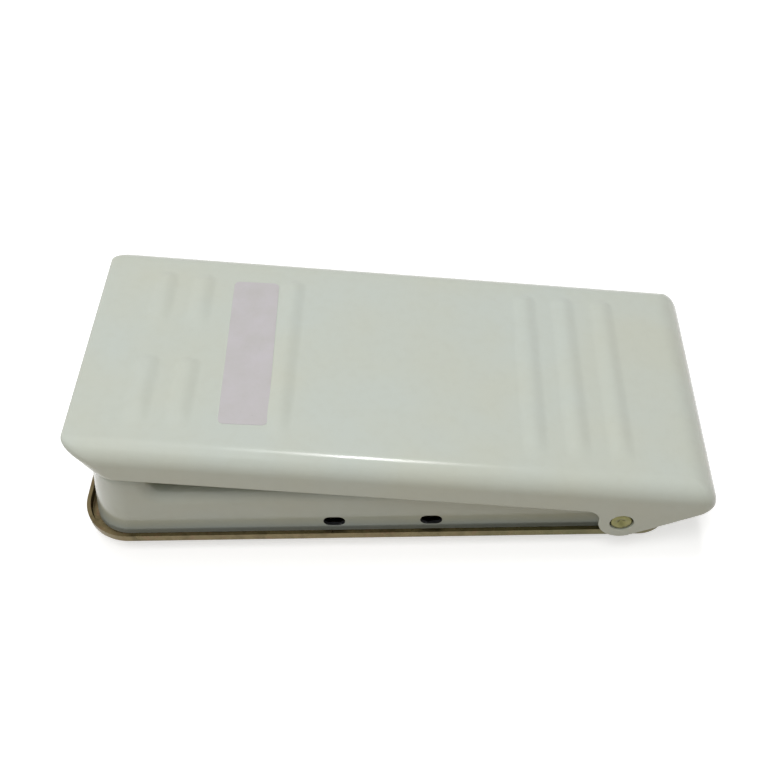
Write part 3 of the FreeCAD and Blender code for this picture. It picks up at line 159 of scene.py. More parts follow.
def stove_enamel():
    """Pale greenish ivory stove enamel on drawn steel: a thick even gloss with a faint orange
    peel, a slight yellowing in broad patches, and a few small chips down to the dark primer."""
    material, tree, surface, place = blank_material("stove_enamel")
    spots = add(tree, "ShaderNodeTexVoronoi", {
        "Vector": place, "Scale": 1 / (13 * MM), "Randomness": 1.0})
    chip = add(tree, "ShaderNodeMapRange", {
        "Value": spots.outputs["Distance"], "From Min": 0.012, "From Max": 0.022,
        "To Min": 1.0, "To Max": 0.0})
    chipped = add(tree, "ShaderNodeMath", {
        0: chip.outputs["Result"], 1: blotches(tree, place, 21, 1.0, 0.58, 0.6)},
        operation="MULTIPLY")
    colour = layered(tree, "#ccd3cb", [
        (blotches(tree, place, 38, 2.0, 0.35, 0.7), "#cdd1c4"),
        (blotches(tree, place, 3.2, 4.0, 0.45, 0.75, 0.0, 0.12), "#bdbfb0"),
        (chipped.outputs[0], "#6a6354")])
    rough = blotches(tree, place, 9, 3.0, 0.3, 0.7, 0.13, 0.2)
    peel = grained(tree, place, 1.6, 1.0, 0.006)
    waves = grained(tree, place, 17, 1.0, 0.05, peel)
    dress(tree, surface, colour, rough, waves, IOR=1.5)
    return material


def yellow_zinc():
    """Zinc plate with a yellow chromate film: a soft metal shine whose tint wanders between
    straw, olive and a faint rose and turns greener towards the heel, with duller handled
    patches and a fine grain, drawn as coarse as it needs to show."""
    material, tree, surface, place = blank_material("yellow_zinc")
    along = add(tree, "ShaderNodeSeparateXYZ", {0: place}).outputs["X"]
    heelward = add(tree, "ShaderNodeMapRange", {"Value": along, "From Min": 0.0, "From Max": 60 * MM})
    green = add(tree, "ShaderNodeMath", {
        0: heelward.outputs["Result"], 1: blotches(tree, place, 12, 2.0, 0.35, 0.65, 0.3, 0.9)},
        operation="MULTIPLY")
    straw = blotches(tree, place, 7, 4.0, 0.35, 0.55, Roughness=0.6, Distortion=0.8)
    blush = blotches(tree, place, 4.5, 2.0, 0.55, 0.75, 0.0, 0.6, Roughness=0.5, Distortion=1.2)
    dull = blotches(tree, place, 2.1, 5.0, 0.5, 0.8, 0.0, 0.5, Roughness=0.7)
    colour = layered(tree, "#63593f", [
        (straw, "#776b4e"), (blush, "#7c604c"), (green.outputs[0], "#5e6042"), (dull, "#524732")])
    rough = blotches(tree, place, 3, 4.0, 0.3, 0.7, 0.24, 0.42)
    dress(tree, surface, colour, rough, grained(tree, place, 0.5, 3.0, 0.012), Metallic=1.0)
    return material


def label_vinyl():
    """Calendered vinyl label, left bare: pale lilac grey and satin, a little cloudy, with
    handling marks."""
    material, tree, surface, place = blank_material("label_vinyl")
    cloud = blotches(tree, place, 8, 4.0, 0.3, 0.7, Roughness=0.6)
    marks = blotches(tree, place, 0.7, 3.0, 0.66, 0.74, 0.0, 0.35, Roughness=0.7)
    colour = layered(tree, "#cbc7cb", [(cloud, "#c4c1c1"), (marks, "#a8a4a4")])
    rough = blotches(tree, place, 4, 3.0, 0.3, 0.7, 0.3, 0.42)
    dress(tree, surface, colour, rough, grained(tree, place, 2.5, 3.0, 0.012))
    return material


def worked_metal(name, main, other, rough_low, rough_high, grain, depth):
    """A bare or plated metal: a tint that wanders a little, a roughness that varies over
    handled patches, and a grain of the given size and depth in millimetres, drawn as coarse as
    it needs to show."""
    material, tree, surface, place = blank_material(name)
    tint = blotches(tree, place, 5, 3.0, 0.35, 0.65, Roughness=0.6, Distortion=0.5)
    rough = blotches(tree, place, 2.2, 4.0, 0.3, 0.7, rough_low, rough_high)
    dress(tree, surface, layered(tree, main, [(tint, other)]), rough,
          grained(tree, place, grain, 3.0, depth), Metallic=1.0)
    return material


def worked_stuff(name, main, other, rough_low, rough_high, blotch, grain, depth, ior):
    """Rubber, ceramic, carbon, board, paint or resin: two close tones in blotches, and a grain,
    with their sizes in millimetres."""
    material, tree, surface, place = blank_material(name)
    tint = blotches(tree, place, blotch, 4.0, 0.35, 0.65, Roughness=0.6)
    rough = blotches(tree, place, 2 * blotch, 2.0, 0.3, 0.7, rough_low, rough_high)
    dress(tree, surface, layered(tree, main, [(tint, other)]), rough,
          grained(tree, place, grain, 2.0, depth), IOR=ior)
    return material


FINISHES = {
    "enamel": stove_enamel(),
    "yellow_zinc": yellow_zinc(),
    "label_vinyl": label_vinyl(),
    # Bright zinc plate on mild steel: cool, half bright, a little cloudy.
    "bright_steel": worked_metal("bright_zinc_steel", "#b4b6b8", "#9a9c9f", 0.26, 0.4, 0.35, 0.006),
    # Yellow chromate on the pin, worn down to a darker olive.
    "worn_chromate": worked_metal("worn_chromate_steel", "#6b6945", "#827e55", 0.3, 0.46, 0.5, 0.02),
    # Painted shade for the vents' punched edges: nearly black and matt, so that the holes read as dark
    # openings in shadow.
    "vent_shade_black": worked_stuff("vent_shade_black", "#1f1f21", "#2c2c2e", 0.5, 0.65, 1.5, 0.12, 0.006, 1.6),
    # Hardened and oiled spring steel: dark, smooth, bluish brown.
    "spring_steel": worked_metal("oiled_spring_steel", "#6f6f70", "#5b5650", 0.24, 0.36, 0.3, 0.004),
    # Moulded natural rubber: nearly black, matt, with bloom in soft patches.
    "black_rubber": worked_stuff("moulded_rubber", "#1d1c1b", "#2b2a28", 0.55, 0.75, 6, 0.4, 0.02, 1.52),
    # Pressed steatite with a clear glaze: creamy white and smooth.
    "glazed_ceramic": worked_stuff("glazed_steatite", "#e4dfd0", "#d9d2bf", 0.12, 0.22, 5, 1.5, 0.01, 1.55),
    # Pressed carbon: dull black, very fine grained.
    "carbon": worked_stuff("pressed_carbon", "#1f1f21", "#2c2c2e", 0.5, 0.65, 1.5, 0.12, 0.006, 1.6),
    # Bare rolled brass with light tarnish: warm, half bright.
    "brass": worked_metal("rolled_brass", "#c4a35a", "#a5854a", 0.25, 0.42, 0.3, 0.005),
    # Pressed fibre board: grey brown, matt and rough.
    "insulating_board": worked_stuff(
        "pressed_fibre_board", "#6f6149", "#80725a", 0.6, 0.8, 2.5, 0.35, 0.02, 1.5),
    # Dipped capacitor resin: amber brown and glossy.
    "capacitor_resin": worked_stuff("dipped_resin", "#8a5a22", "#7a4c1c", 0.15, 0.28, 4, 2.0, 0.02, 1.54),
    # Tinned copper wire: soft bright grey.
    "tinned_wire": worked_metal("tinned_copper", "#c3c4c4", "#adaeae", 0.28, 0.4, 0.25, 0.003),
}

SLOT_OF = {entry["node"]: entry["material_slot"] for entry in frame["record"]["subparts"]}


# Making pieces

def smooth_step(share):
    """A soft rise from 0 to 1."""
    share = np.clip(share, 0.0, 1.0)
    return share * share * (3 - 2 * share)


def new_piece(name, points, faces, finish, body, sharp=None):
    """Points in millimetres and faces by number make one smooth piece that rides on a body."""
    mesh = bpy.data.meshes.new(name)
    mesh.from_pydata((np.asarray(points) * MM).tolist(), [], faces)
    mesh.shade_smooth()
    if sharp is not None:
        mesh.set_sharp_from_angle(angle=math.radians(sharp))
    mesh.materials.append(finish)
    piece = bpy.data.objects.new(name, mesh)
    bpy.context.scene.collection.objects.link(piece)
    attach(piece, body)
    return piece


def skin_faces(rows):
    """Faces between each closed row of point numbers and the next. Points that are one count
    once, and a face that has fewer than three is left out."""
    rows = np.asarray(rows)
    after = np.roll(rows, -1, axis=1)
    rings = np.stack([rows[:-1], after[:-1], after[1:], rows[1:]], axis=-1).reshape(-1, 4)
    own = rings != np.roll(rings, 1, axis=1)
    return [ring[kept].tolist() for ring, kept in zip(rings, own) if kept.sum() > 2]


def unit(vectors):
    """Each vector at length one."""
    length = np.linalg.norm(vectors, axis=-1, keepdims=True)
    return vectors / np.maximum(length, 1e-12)


def face_outwards(piece):
    """Turn the faces of a closed mesh so that they all point out."""
    shape = bmesh.new()
    shape.from_mesh(piece.data)
    bmesh.ops.recalc_face_normals(shape, faces=shape.faces)
    shape.to_mesh(piece.data)
    shape.free()


def settle(piece):
    """Turn a piece's modifiers into its mesh."""
    graph = bpy.context.evaluated_depsgraph_get()
    graph.update()
    settled = bpy.data.meshes.new_from_object(piece.evaluated_get(graph))
    piece.modifiers.clear()
    piece.data = settled


# The pedal's cover

# Sizes of the cover in millimetres. u runs along the tread from the pin's axis towards the
# heel, y across it and w square to it.
PIN = middle_of("hinge_pin")
# Its reach from the pin to the toe and to the heel, its height there, and half its width.
TOE, HEEL, TOP, HALF = 167.3, 27.0, 17.0, 44.3
# The sheet and the rounding of its edge.
SHEET = 1.2
ROUND = SHEET / 2
# The slant of the toe end, and the tilt of the whole cover at rest.
SLANT, TILT = math.radians(36.0), math.radians(8.0)
# The radii of the bends between the tread and the walls.
SIDE_ROLL, HEEL_ROLL, TOE_BEND = 6.4, 10.0, 1.5
# Seen from above: the radius of the heel corners and the width of the curls at the toe.
HEEL_CORNER, CURL = 5.0, 6.5
# The length of the slanted lip, and the radius of the hollow at its end.
LIP, HOLLOW = 5.0, 1.0
# The flange's height over the pin, the radii of the ear and of the hollow before it, and the
# slope of the edge behind it.
FLANGE, EAR, BLEND, RISE = 4.4, 6.9, 4.5, math.radians(33.5)

# The outline at the tread's level, measured from the curl's free edge: along the curl,
# the long side, the heel corner and the heel.
STRETCH = CURL / math.cos(SLANT)
CURL_END = CURL * math.pi / 2
SIDE_END = CURL_END + (HEEL - HEEL_CORNER) - (STRETCH - TOE)
CORNER_END = SIDE_END + HEEL_CORNER * math.pi / 2
TOE_REACH = TOE_BEND * math.tan((math.pi / 2 + SLANT) / 2)
FLAT_TOE, FLAT_HEEL, FLAT_HALF = TOE_REACH - TOE, HEEL - HEEL_ROLL, HALF - SIDE_ROLL

# The distance over which the side wall takes up the slant of the toe end.
LEAN_RUN = 30.0

# The wall's lower edge, drawn where the rounding of the sheet's edge begins.
EDGE = FLANGE + ROUND
# The flange's toe corner: its stretch of the outline, and the half widths of its ellipse.
CORNER_RUN, CORNER_WIDE, CORNER_HIGH = 18.0, 9.0, 7.0
# Where the wall's lines to each turn of the ear's edge start.
EAR_START = -13.0
EAR_STARTS = [EAR_START, -11.4, -2.5, 4.5, HEEL - HEEL_CORNER]

# Ribs: place along the cover, and the ends of each across it. Then their height, half their
# width, how long they fade at the near end, and how far they run out there.
RIBS = [(place, -35.5, 35.5) for place in (-2.1, -15.05, -28.0)] + [(-104.4, -34.0, 34.0)]
RIBS += [(place, start, end) for place in (-133.6, -145.9) for start, end in ((8.0, 34.0), (-34.0, -4.0))]
RIB_RISE, RIB_HALF, RIB_FADE, RIB_LEAD = 0.9, 4.2, 13.0, 2.0

# The mesh of the cover: the lines round the curl and the heel corner, the rows down each line,
# and the row of the wall that tells outside from inside.
CURL_LINES, CORNER_LINES, ROWS, WALL_ROW = 13, 16, 27, 12
# Two distances closer than this are the same.
TINY = 1e-9


def cover_to_frame(u, y, w):
    """Cover sizes to the frame: turned by the tilt about the pin's axis."""
    x = PIN[0] + u * math.cos(TILT) + w * math.sin(TILT)
    z = PIN[2] - u * math.sin(TILT) + w * math.cos(TILT)
    return np.stack(np.broadcast_arrays(x, y, z), axis=-1)


def outline(along):
    """A point of the outline: straight across the toe, an ellipse quarter round the curl,
    straight along the side, a circle quarter at the heel, and straight across the heel."""
    curl = np.clip(along / CURL, 0, math.pi / 2)
    corner = np.clip((along - SIDE_END) / HEEL_CORNER, 0, math.pi / 2)
    side = np.clip(along, CURL_END, SIDE_END) - CURL_END
    u = -TOE + STRETCH * (1 - np.cos(curl)) + side + HEEL_CORNER * np.sin(corner)
    y = (HALF - CURL + np.minimum(along, 0) + CURL * np.sin(curl)
         - HEEL_CORNER * (1 - np.cos(corner)) - np.maximum(along - CORNER_END, 0))
    return u, y


def lean(along):
    """How far a line down the wall runs back for each millimetre down."""
    return math.tan(SLANT) * (1 - smooth_step((along - CURL_END) / LEAN_RUN))


def wall_point(along, w):
    """A point of the wall under the outline, at the height w."""
    u, y = outline(along)
    return np.stack([u + lean(along) * (TOP - w), y, np.broadcast_to(w, u.shape)], axis=-1)


def rib_height(u, y):
    """Height of the pressed ribs: the square of a parabola over the distance from each rib's
    middle line, so that crown and foot are both soft, fading out towards the near end, which
    runs out a lead further."""
    height = np.zeros(np.broadcast(u, y).shape)
    for along, start, end in RIBS:
        beside = np.minimum(y, end - RIB_HALF)
        share = ((u - along) ** 2 + (y - beside) ** 2) / RIB_HALF ** 2
        fade = smooth_step((y - start + RIB_LEAD) / RIB_FADE)
        height = np.maximum(height, RIB_RISE * fade * np.maximum(1 - share, 0.0) ** 2)
    return height


def spaced(start, end, marks, reach, fine, coarse):
    """Places from start to end, close together near the marks and further apart elsewhere: the
    number of wanted steps is summed along the way, and read off at equal shares of the sum."""
    samples = 6001
    x = np.linspace(start, end, samples)
    away = np.abs(x[:, None] - np.asarray(marks)[None, :]).min(axis=1)
    step = fine + (coarse - fine) * smooth_step((away - reach) / (2 * reach))
    count = np.concatenate([[0.0], np.cumsum(np.diff(x) * 0.5 * (1 / step[1:] + 1 / step[:-1]))])
    number = int(math.ceil(count[-1]))
    return np.interp(np.linspace(0, count[-1], number + 1), count, x)


def arc(centre, radius, start, end, number=24):
    """Points of a circle arc, angles in radians."""
    angle = np.linspace(start, end, number)
    return np.stack([centre[0] + radius * np.cos(angle), centre[1] + radius * np.sin(angle)], axis=-1)


def run_along(points):
    """The distance of each point along a line of points."""
    return np.concatenate([[0.0], np.cumsum(np.linalg.norm(np.diff(points, axis=0), axis=1))])


def walk(points, distance):
    """Points at given distances along a line of points."""
    length = run_along(points)
    return np.stack([np.interp(distance, length, points[:, axis]) for axis in (0, 1)], axis=-1)


def rising_edge(u):
    """The straight edge that climbs from the ear to the heel."""
    ring = EAR - ROUND
    return -ring * math.cos(RISE) + (u - ring * math.sin(RISE)) * math.tan(RISE)


def toe_edge(along):
    """The lip's edge, which turns down into the curl's free edge in a small hollow arc."""
    ring = HOLLOW + ROUND
    low = TOP - LIP * math.cos(SLANT) - HOLLOW
    return low + np.sqrt(np.maximum(ring ** 2 - np.clip(along + HOLLOW, 0, ring) ** 2, 0.0))


def toe_corner_line():
    """Edge from the curl's free side round the flange's toe corner, an ellipse quarter, as
    outline place and w."""
    angle = np.linspace(math.pi, 1.5 * math.pi, 24)
    round_part = np.stack([CORNER_WIDE + (CORNER_WIDE - ROUND) * np.cos(angle),
                           FLANGE + CORNER_HIGH + (CORNER_HIGH - ROUND) * np.sin(angle)], axis=-1)
    start = [ROUND, float(toe_edge(np.array(ROUND)))]
    return np.concatenate([[start], round_part, [[CORNER_RUN, EDGE]]])


def ear_line():
    """Edge from the flange through the hollow blend, round the ear, and up to the heel corner,
    with the number of each point where one stretch of it gives way to the next."""
    blend_z = FLANGE - BLEND
    blend_x = -math.sqrt((EAR + BLEND) ** 2 - blend_z ** 2)
    meet = math.atan2(blend_z, blend_x) % (2 * math.pi)
    ring = EAR - ROUND
    end = HEEL - HEEL_CORNER
    stretches = [
        np.array([[EAR_START, EDGE]]),
        arc((blend_x, blend_z), BLEND + ROUND, math.pi / 2, meet - math.pi),
        arc((0.0, 0.0), ring, meet, 2 * math.pi + RISE - math.pi / 2, 48)[1:],
        np.array([[end, rising_edge(end)]])]
    turns = [0, 1] + list(np.cumsum([len(stretch) for stretch in stretches])[1:] - 1)
    return np.concatenate(stretches), turns


def cover_lines():
    """Lines from the tread's rim down to the wall's edge, for the half at +y, from the toe's
    middle round to the heel's middle: the steps of the tread's grid across and along the
    cover, each line's place on the outline, and its start on the tread's flat."""
    across = spaced(0.0, FLAT_HALF, [6.0, 10.0, 32.0, 34.0], 3.0, 0.6, 2.4)
    marks = sorted({rib[0] for rib in RIBS}) + [-160.0, -8.0]
    along = spaced(FLAT_TOE, FLAT_HEEL, marks, 4.6, 0.55, 2.6)
    curl = np.concatenate([[ROUND / 2, ROUND], np.linspace(ROUND, CURL_END, CURL_LINES - 1)[1:]])
    corner = np.linspace(SIDE_END, CORNER_END, CORNER_LINES + 1)[1:]
    side = CURL_END + (along - FLAT_TOE) * (SIDE_END - CURL_END) / (FLAT_HEEL - FLAT_TOE)
    place = np.concatenate([
        across * (HALF - CURL) / FLAT_HALF - (HALF - CURL), curl, side[1:], corner,
        CORNER_END + (HALF - HEEL_CORNER) * (1 - across[-2::-1] / FLAT_HALF)])
    start_u = np.concatenate([
        np.full(len(across) + len(curl), FLAT_TOE), along[1:], np.full(len(corner), FLAT_HEEL),
        np.full(len(across) - 1, FLAT_HEEL)])
    start_y = np.concatenate([
        across, np.full(len(curl) + len(along) - 1 + len(corner), FLAT_HALF), across[-2::-1]])
    return across, along, place, start_u, start_y


def line_ends(place):
    """Where each line ends, as outline place and height: at given places of the edge near the
    toe corner and the ear. The lines elsewhere are free, and run straight down to the edge."""
    free = (place <= ROUND + TINY) | (place > SIDE_END + TINY)
    end_place, end_w = place.copy(), np.full(place.shape, EDGE)
    near = (place > ROUND + TINY) & (place < CORNER_RUN)
    corner = toe_corner_line()
    line = walk(corner, (place[near] - ROUND) / (CORNER_RUN - ROUND) * run_along(corner)[-1])
    end_place[near], end_w[near] = line[:, 0], line[:, 1]
    u = place - CURL_END + STRETCH - TOE
    near = (u > EAR_START) & (place <= SIDE_END + TINY)
    ear, turns = ear_line()
    line = walk(ear, np.interp(u[near], EAR_STARTS, run_along(ear)[turns]))
    end_place[near] = CURL_END + line[:, 0] - (STRETCH - TOE)
    end_w[near] = line[:, 1]
    return end_place, end_w, free


def cover_half():
    """Every line of the half as a row of points: a bend, then straight down the wall to the
    edge. The bend is a conic from the tread's flat to the wall, pulled to the outline, which is
    an exact circle arc on the straight runs. Also returns the steps of the tread's grid."""
    across, along, place, start_u, start_y = cover_lines()
    turned_toe = smooth_step(place / CURL_END)
    turned_heel = smooth_step((place - SIDE_END) / (CORNER_END - SIDE_END))
    toe_drop = TOE_REACH * math.cos(SLANT)
    drop = toe_drop + (SIDE_ROLL - toe_drop) * turned_toe + (HEEL_ROLL - SIDE_ROLL) * turned_heel
    sharp = math.cos((math.pi / 2 + SLANT) / 2)
    weight = (sharp + (math.sqrt(0.5) - sharp) * turned_toe)[:, None, None]
    start = np.stack([start_u, start_y, np.full(place.shape, TOP)], axis=-1)[:, None, :]
    pull = wall_point(place, np.full(place.shape, TOP))[:, None, :]
    bend_w = TOP - drop
    finish = wall_point(place, bend_w)[:, None, :]

    # A line's share runs from 0 to 1 over its bend, and on by 1 for each unit_run of wall.
    unit_run = 10.0
    end_place, end_w, free = line_ends(place)
    step = np.stack([end_place - place, end_w - bend_w], axis=-1)
    run = np.linalg.norm(step, axis=-1)
    step = np.where(free[:, None], np.array([[0.0, -1.0]]), step / np.maximum(run, TINY)[:, None])

    def points_at(share):
        bend = np.minimum(share, 1.0)[..., None]
        a, b, c = (1 - bend) ** 2, 2 * bend * (1 - bend) * weight, bend ** 2
        on_bend = (a * start + b * pull + c * finish) / (a + b + c)
        below = np.maximum(share - 1, 0) * unit_run
        on_wall = wall_point(place[:, None] + below * step[:, None, 0],
                             bend_w[:, None] + below * step[:, None, 1])
        return np.where(share[..., None] <= 1, on_bend, on_wall)

    # The free lines meet the edge at a share that is found by halving.
    low, high = np.full(place.shape, 0.05), np.full(place.shape, 3.0)
    for _ in range(40):
        share = (low + high) / 2
        point = points_at(share[:, None])[:, 0]
        edge = np.where(place > SIDE_END, rising_edge(point[:, 0]), toe_edge(place))
        above = point[:, 2] > edge
        low, high = np.where(above, share, low), np.where(above, high, share)
    last = np.where(free, share, 1 + run / unit_run)
    return points_at(last[:, None] * np.linspace(0, 1, ROWS)[None, :]), across, along


def pedal_cover():
    """The cover as one closed sheet: its tread with the ribs, its rolled rim and walls, the
    rounded edge of the sheet, and the same again one sheet further in along the normals."""
    half, across, along = cover_half()
    other = half[-2:0:-1] * np.array([1.0, -1.0, 1.0])
    loop = np.concatenate([half, other])
    down = np.gradient(loop, axis=1)
    onward = np.roll(loop, -1, axis=0) - np.roll(loop, 1, axis=0)
    normal = unit(np.cross(onward, down))
    away = (loop[:, WALL_ROW] - loop[:, 0]) * np.array([1.0, 1.0, 0.0])
    normal *= np.sign(np.sum(normal * away[:, None], axis=-1, keepdims=True))
    normal[:, 0] = (0.0, 0.0, 1.0)
    outward = unit(np.cross(normal[:, -1], onward[:, -1]))
    outward *= np.sign(np.mean(np.sum(outward * down[:, -1], axis=-1)))
    centre = loop[:, -1] - ROUND * normal[:, -1]
    turn = np.linspace(0, math.pi, 7)[1:-1]
    rim = centre[:, None] + ROUND * (np.cos(turn)[None, :, None] * normal[:, -1][:, None]
                                     + np.sin(turn)[None, :, None] * outward[:, None])
    inner = (loop - SHEET * normal)[:, ::-1]

    rows_y = np.concatenate([-across[:0:-1], across])
    u, y = np.meshgrid(along, rows_y, indexing="ij")
    tread = np.stack([u, y, TOP + rib_height(u, y)], axis=-1)
    slope = unit(np.cross(np.gradient(tread, axis=0), np.gradient(tread, axis=1)))
    slope[0] = slope[-1] = (0, 0, 1)
    slope[:, 0] = slope[:, -1] = (0, 0, 1)
    under = tread - SHEET * slope

    rings = np.concatenate([loop[:, 1:], rim, inner[:, :-1]], axis=1)
    size = tread.shape[0] * tread.shape[1]
    points = np.concatenate([tread.reshape(-1, 3), under.reshape(-1, 3), rings.reshape(-1, 3)])
    grid = np.arange(size).reshape(tread.shape[:2])

    # Numbers of the grid's rim points in the loop's order: one half, and its mirror image.
    middle = len(across) - 1
    rim_half = np.concatenate([
        grid[0, middle:], np.full(CURL_LINES, grid[0, -1]), grid[1:, -1],
        np.full(CORNER_LINES, grid[-1, -1]), grid[-1, -2:middle - 1:-1]])
    rim_loop = np.concatenate([rim_half, grid[:, ::-1].reshape(-1)[rim_half[-2:0:-1]]])
    ring_numbers = 2 * size + np.arange(rings.shape[0] * rings.shape[1]).reshape(rings.shape[:2])
    quads = np.stack([grid[:-1, :-1], grid[:-1, 1:], grid[1:, 1:], grid[1:, :-1]], axis=-1)
    quads = quads.reshape(-1, 4)
    faces = skin_faces([rim_loop, *ring_numbers.T, rim_loop + size])
    faces += quads.tolist() + (quads[:, ::-1] + size).tolist()
    placed = cover_to_frame(points[:, 0], points[:, 1], points[:, 2])
    piece = new_piece("cover_sheet", placed, faces, FINISHES["enamel"], "pedal")
    face_outwards(piece)
    return piece


def bore_ears(piece):
    """Drill the ears for the pin: a circle carried straight across the cover. The hole sits a
    little high on the pin, as a worn one does."""
    radius, worn, beyond = 3.62, 0.2, 5
    angle = np.linspace(0, 2 * math.pi, 65)[:-1]
    ring = cover_to_frame(radius * np.cos(angle), np.full(angle.shape, -HALF - beyond),
                          worn + radius * np.sin(angle))
    far = ring + np.array([0.0, 2 * (HALF + beyond), 0.0])
    numbers = np.arange(2 * len(angle)).reshape(2, -1)
    mesh = bpy.data.meshes.new("drill")
    mesh.from_pydata((np.concatenate([ring, far]) * MM).tolist(), [],
                     skin_faces(numbers) + [numbers[0, ::-1].tolist(), numbers[1].tolist()])
    drill = bpy.data.objects.new("drill", mesh)
    bpy.context.scene.collection.objects.link(drill)
    face_outwards(drill)
    cut = piece.modifiers.new("bore", "BOOLEAN")
    cut.operation, cut.object, cut.solver = "DIFFERENCE", drill, "EXACT"
    settle(piece)
    bpy.data.objects.remove(drill)
    piece.data.shade_smooth()
    piece.data.set_sharp_from_angle(angle=math.radians(42))


cover = pedal_cover()
bore_ears(cover)
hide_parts("pedal_cover")


def tread_label():
    """The label on the tread, bare: a thin sheet whose outline is a rectangle with circle
    quarters at its corners, stepped in for a soft edge, and turned a little on the tread."""
    length, width, corner, thick = 61.2, 14.6, 1.8, 0.12
    turn = math.radians(1.9)
    place, beside = -115.6, 0.5
    angle = np.concatenate([np.linspace(q * math.pi / 2, (q + 1) * math.pi / 2, 9) for q in range(4)])
    quarter = np.repeat(np.arange(4), 9)
    side_u = np.array([1, -1, -1, 1])[quarter] * (width / 2 - corner)
    side_y = np.array([1, 1, -1, -1])[quarter] * (length / 2 - corner)
    rings = []
    for inset, height in ((0.0, 0.01), (0.0, thick - 0.05), (0.04, thick), (0.6, thick)):
        u = side_u + (corner - inset) * np.cos(angle)
        y = side_y + (corner - inset) * np.sin(angle)
        rings.append(np.stack([u, y, np.full(u.shape, height)], axis=-1))
    numbers = np.arange(len(rings) * len(angle)).reshape(len(rings), -1)
    faces = skin_faces(numbers) + [numbers[0, ::-1].tolist(), numbers[-1].tolist()]
    flat = np.concatenate(rings)
    u = place + flat[:, 0] * math.cos(turn) - flat[:, 1] * math.sin(turn)
    y = beside + flat[:, 0] * math.sin(turn) + flat[:, 1] * math.cos(turn)
    piece = new_piece("tread_label", cover_to_frame(u, y, TOP + flat[:, 2]), faces,
                      FINISHES["label_vinyl"], "pedal", 40)
    face_outwards(piece)


tread_label()


# The spring

def closing_rise(share):
    """The share of a spring's height at a share of its turns, which grows slower near both ends."""
    return 0.75 * share + 0.25 * smooth_step(share)


def coil_spring():
    """A round wire wound on a helix whose pitch closes at both ends; the wire's circle is
    carried square to the helix."""
    low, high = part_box("return_spring")
    centre = middle_of("push_rod")
    wire, radius, turns, steps, sides = 0.6, 5.6, 5.0, 240, 12
    base, top = low[2] / MM + wire, high[2] / MM - wire
    share = np.linspace(0, 1, steps + 1)
    angle = 2 * math.pi * turns * share
    rise = base + (top - base) * closing_rise(share)
    line = np.stack([centre[0] + radius * np.cos(angle), centre[1] + radius * np.sin(angle), rise],
                    axis=-1)
    onward = unit(np.gradient(line, axis=0))
    outward = np.stack([np.cos(angle), np.sin(angle), np.zeros(angle.shape)], axis=-1)
    upward = np.cross(onward, outward)
    around = np.linspace(0, 2 * math.pi, sides + 1)[:-1]
    tube = (line[:, None] + wire * (np.cos(around)[None, :, None] * outward[:, None]
                                    + np.sin(around)[None, :, None] * upward[:, None]))
    numbers = np.arange(len(tube) * sides).reshape(-1, sides)
    faces = skin_faces(numbers) + [numbers[0].tolist(), numbers[-1, ::-1].tolist()]
    piece = new_piece("wound_spring", tube.reshape(-1, 3), faces,
                      FINISHES["spring_steel"], "base", 50)
    face_outwards(piece)
    return piece, base - wire


spring, spring_base = coil_spring()
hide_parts("return_spring")
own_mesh(spring)


# Pieces kept from the frame

# Points of a frame mesh that are closer than this, in metres, are one.
JOIN_WITHIN = 2e-6


def smooth_copy(node, finish=None, sharp=30):
    """The same shape with its points joined, shaded smooth, its hard edges kept, in the node's
    own finish or a given one."""
    mesh = NODES[node].data.copy()
    shape = bmesh.new()
    shape.from_mesh(mesh)
    bmesh.ops.remove_doubles(shape, verts=shape.verts, dist=JOIN_WITHIN)
    shape.to_mesh(mesh)
    shape.free()
    mesh.shade_smooth()
    mesh.set_sharp_from_angle(angle=math.radians(sharp))
    mesh.materials.clear()
    mesh.materials.append(FINISHES[finish or SLOT_OF[node]])
    piece = bpy.data.objects.new(node + "_skin", mesh)
    bpy.context.scene.collection.objects.link(piece)
    flat = piece.modifiers.new("even", "WEIGHTED_NORMAL")
    flat.keep_sharp = True
    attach(piece, NODES[node]["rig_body"])
    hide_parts(node)
    return piece


for name, item in NODES.items():
    item.data.materials.clear()
    item.data.materials.append(FINISHES[SLOT_OF[name]])

for name in ("base_tray", "rubber_feet", "foot_screws", "hinge_bushes",
             "cord_grommet", "bump_stops", "push_rod", "rod_guide", "pusher_bracket"):
    smooth_copy(name)
smooth_copy("hinge_pin", "worn_chromate")


# The vents in the long walls: their middles, half length, heights, and the wall with its reach.
VENTS = (-16.75, 13.35)
VENT_REACH, VENT_LOW, VENT_HIGH = 4.0, 8.2, 13.5
VENT_WALL, WALL_REACH = 38.0, 2.5


def darken_vents(piece):
    """Paint shade on the punched edges of the vents: the faces that run through the wall's thickness get a
    near black finish, painted shade that makes the holes read as dark openings."""
    # Painted shade: this near black finish stands in for the shadow inside the vents.
    piece.data.materials.append(FINISHES["vent_shade_black"])
    for face in piece.data.polygons:
        middle = face.center / MM
        in_wall = abs(abs(middle.y) - VENT_WALL) < WALL_REACH and VENT_LOW < middle.z < VENT_HIGH
        beside = min(abs(middle.x - place) for place in VENTS) < VENT_REACH
        through = abs(face.normal.y) < 0.6
        if in_wall and beside and through:
            face.material_index = 1


darken_vents(smooth_copy("housing"))


# Floor, light and camera

def seen_directly(tree):
    """1 for what the camera sees, straight, mirrored or through glass, and 0 for bounced light."""
    rays = add(tree, "ShaderNodeLightPath").outputs
    mirrored = add(tree, "ShaderNodeMath", {
        0: rays["Is Camera Ray"], 1: rays["Is Glossy Ray"]}, operation="ADD")
    return add(tree, "ShaderNodeMath", {
        0: mirrored.outputs[0], 1: rays["Is Transmission Ray"]},
        operation="ADD", use_clamp=True).outputs[0]


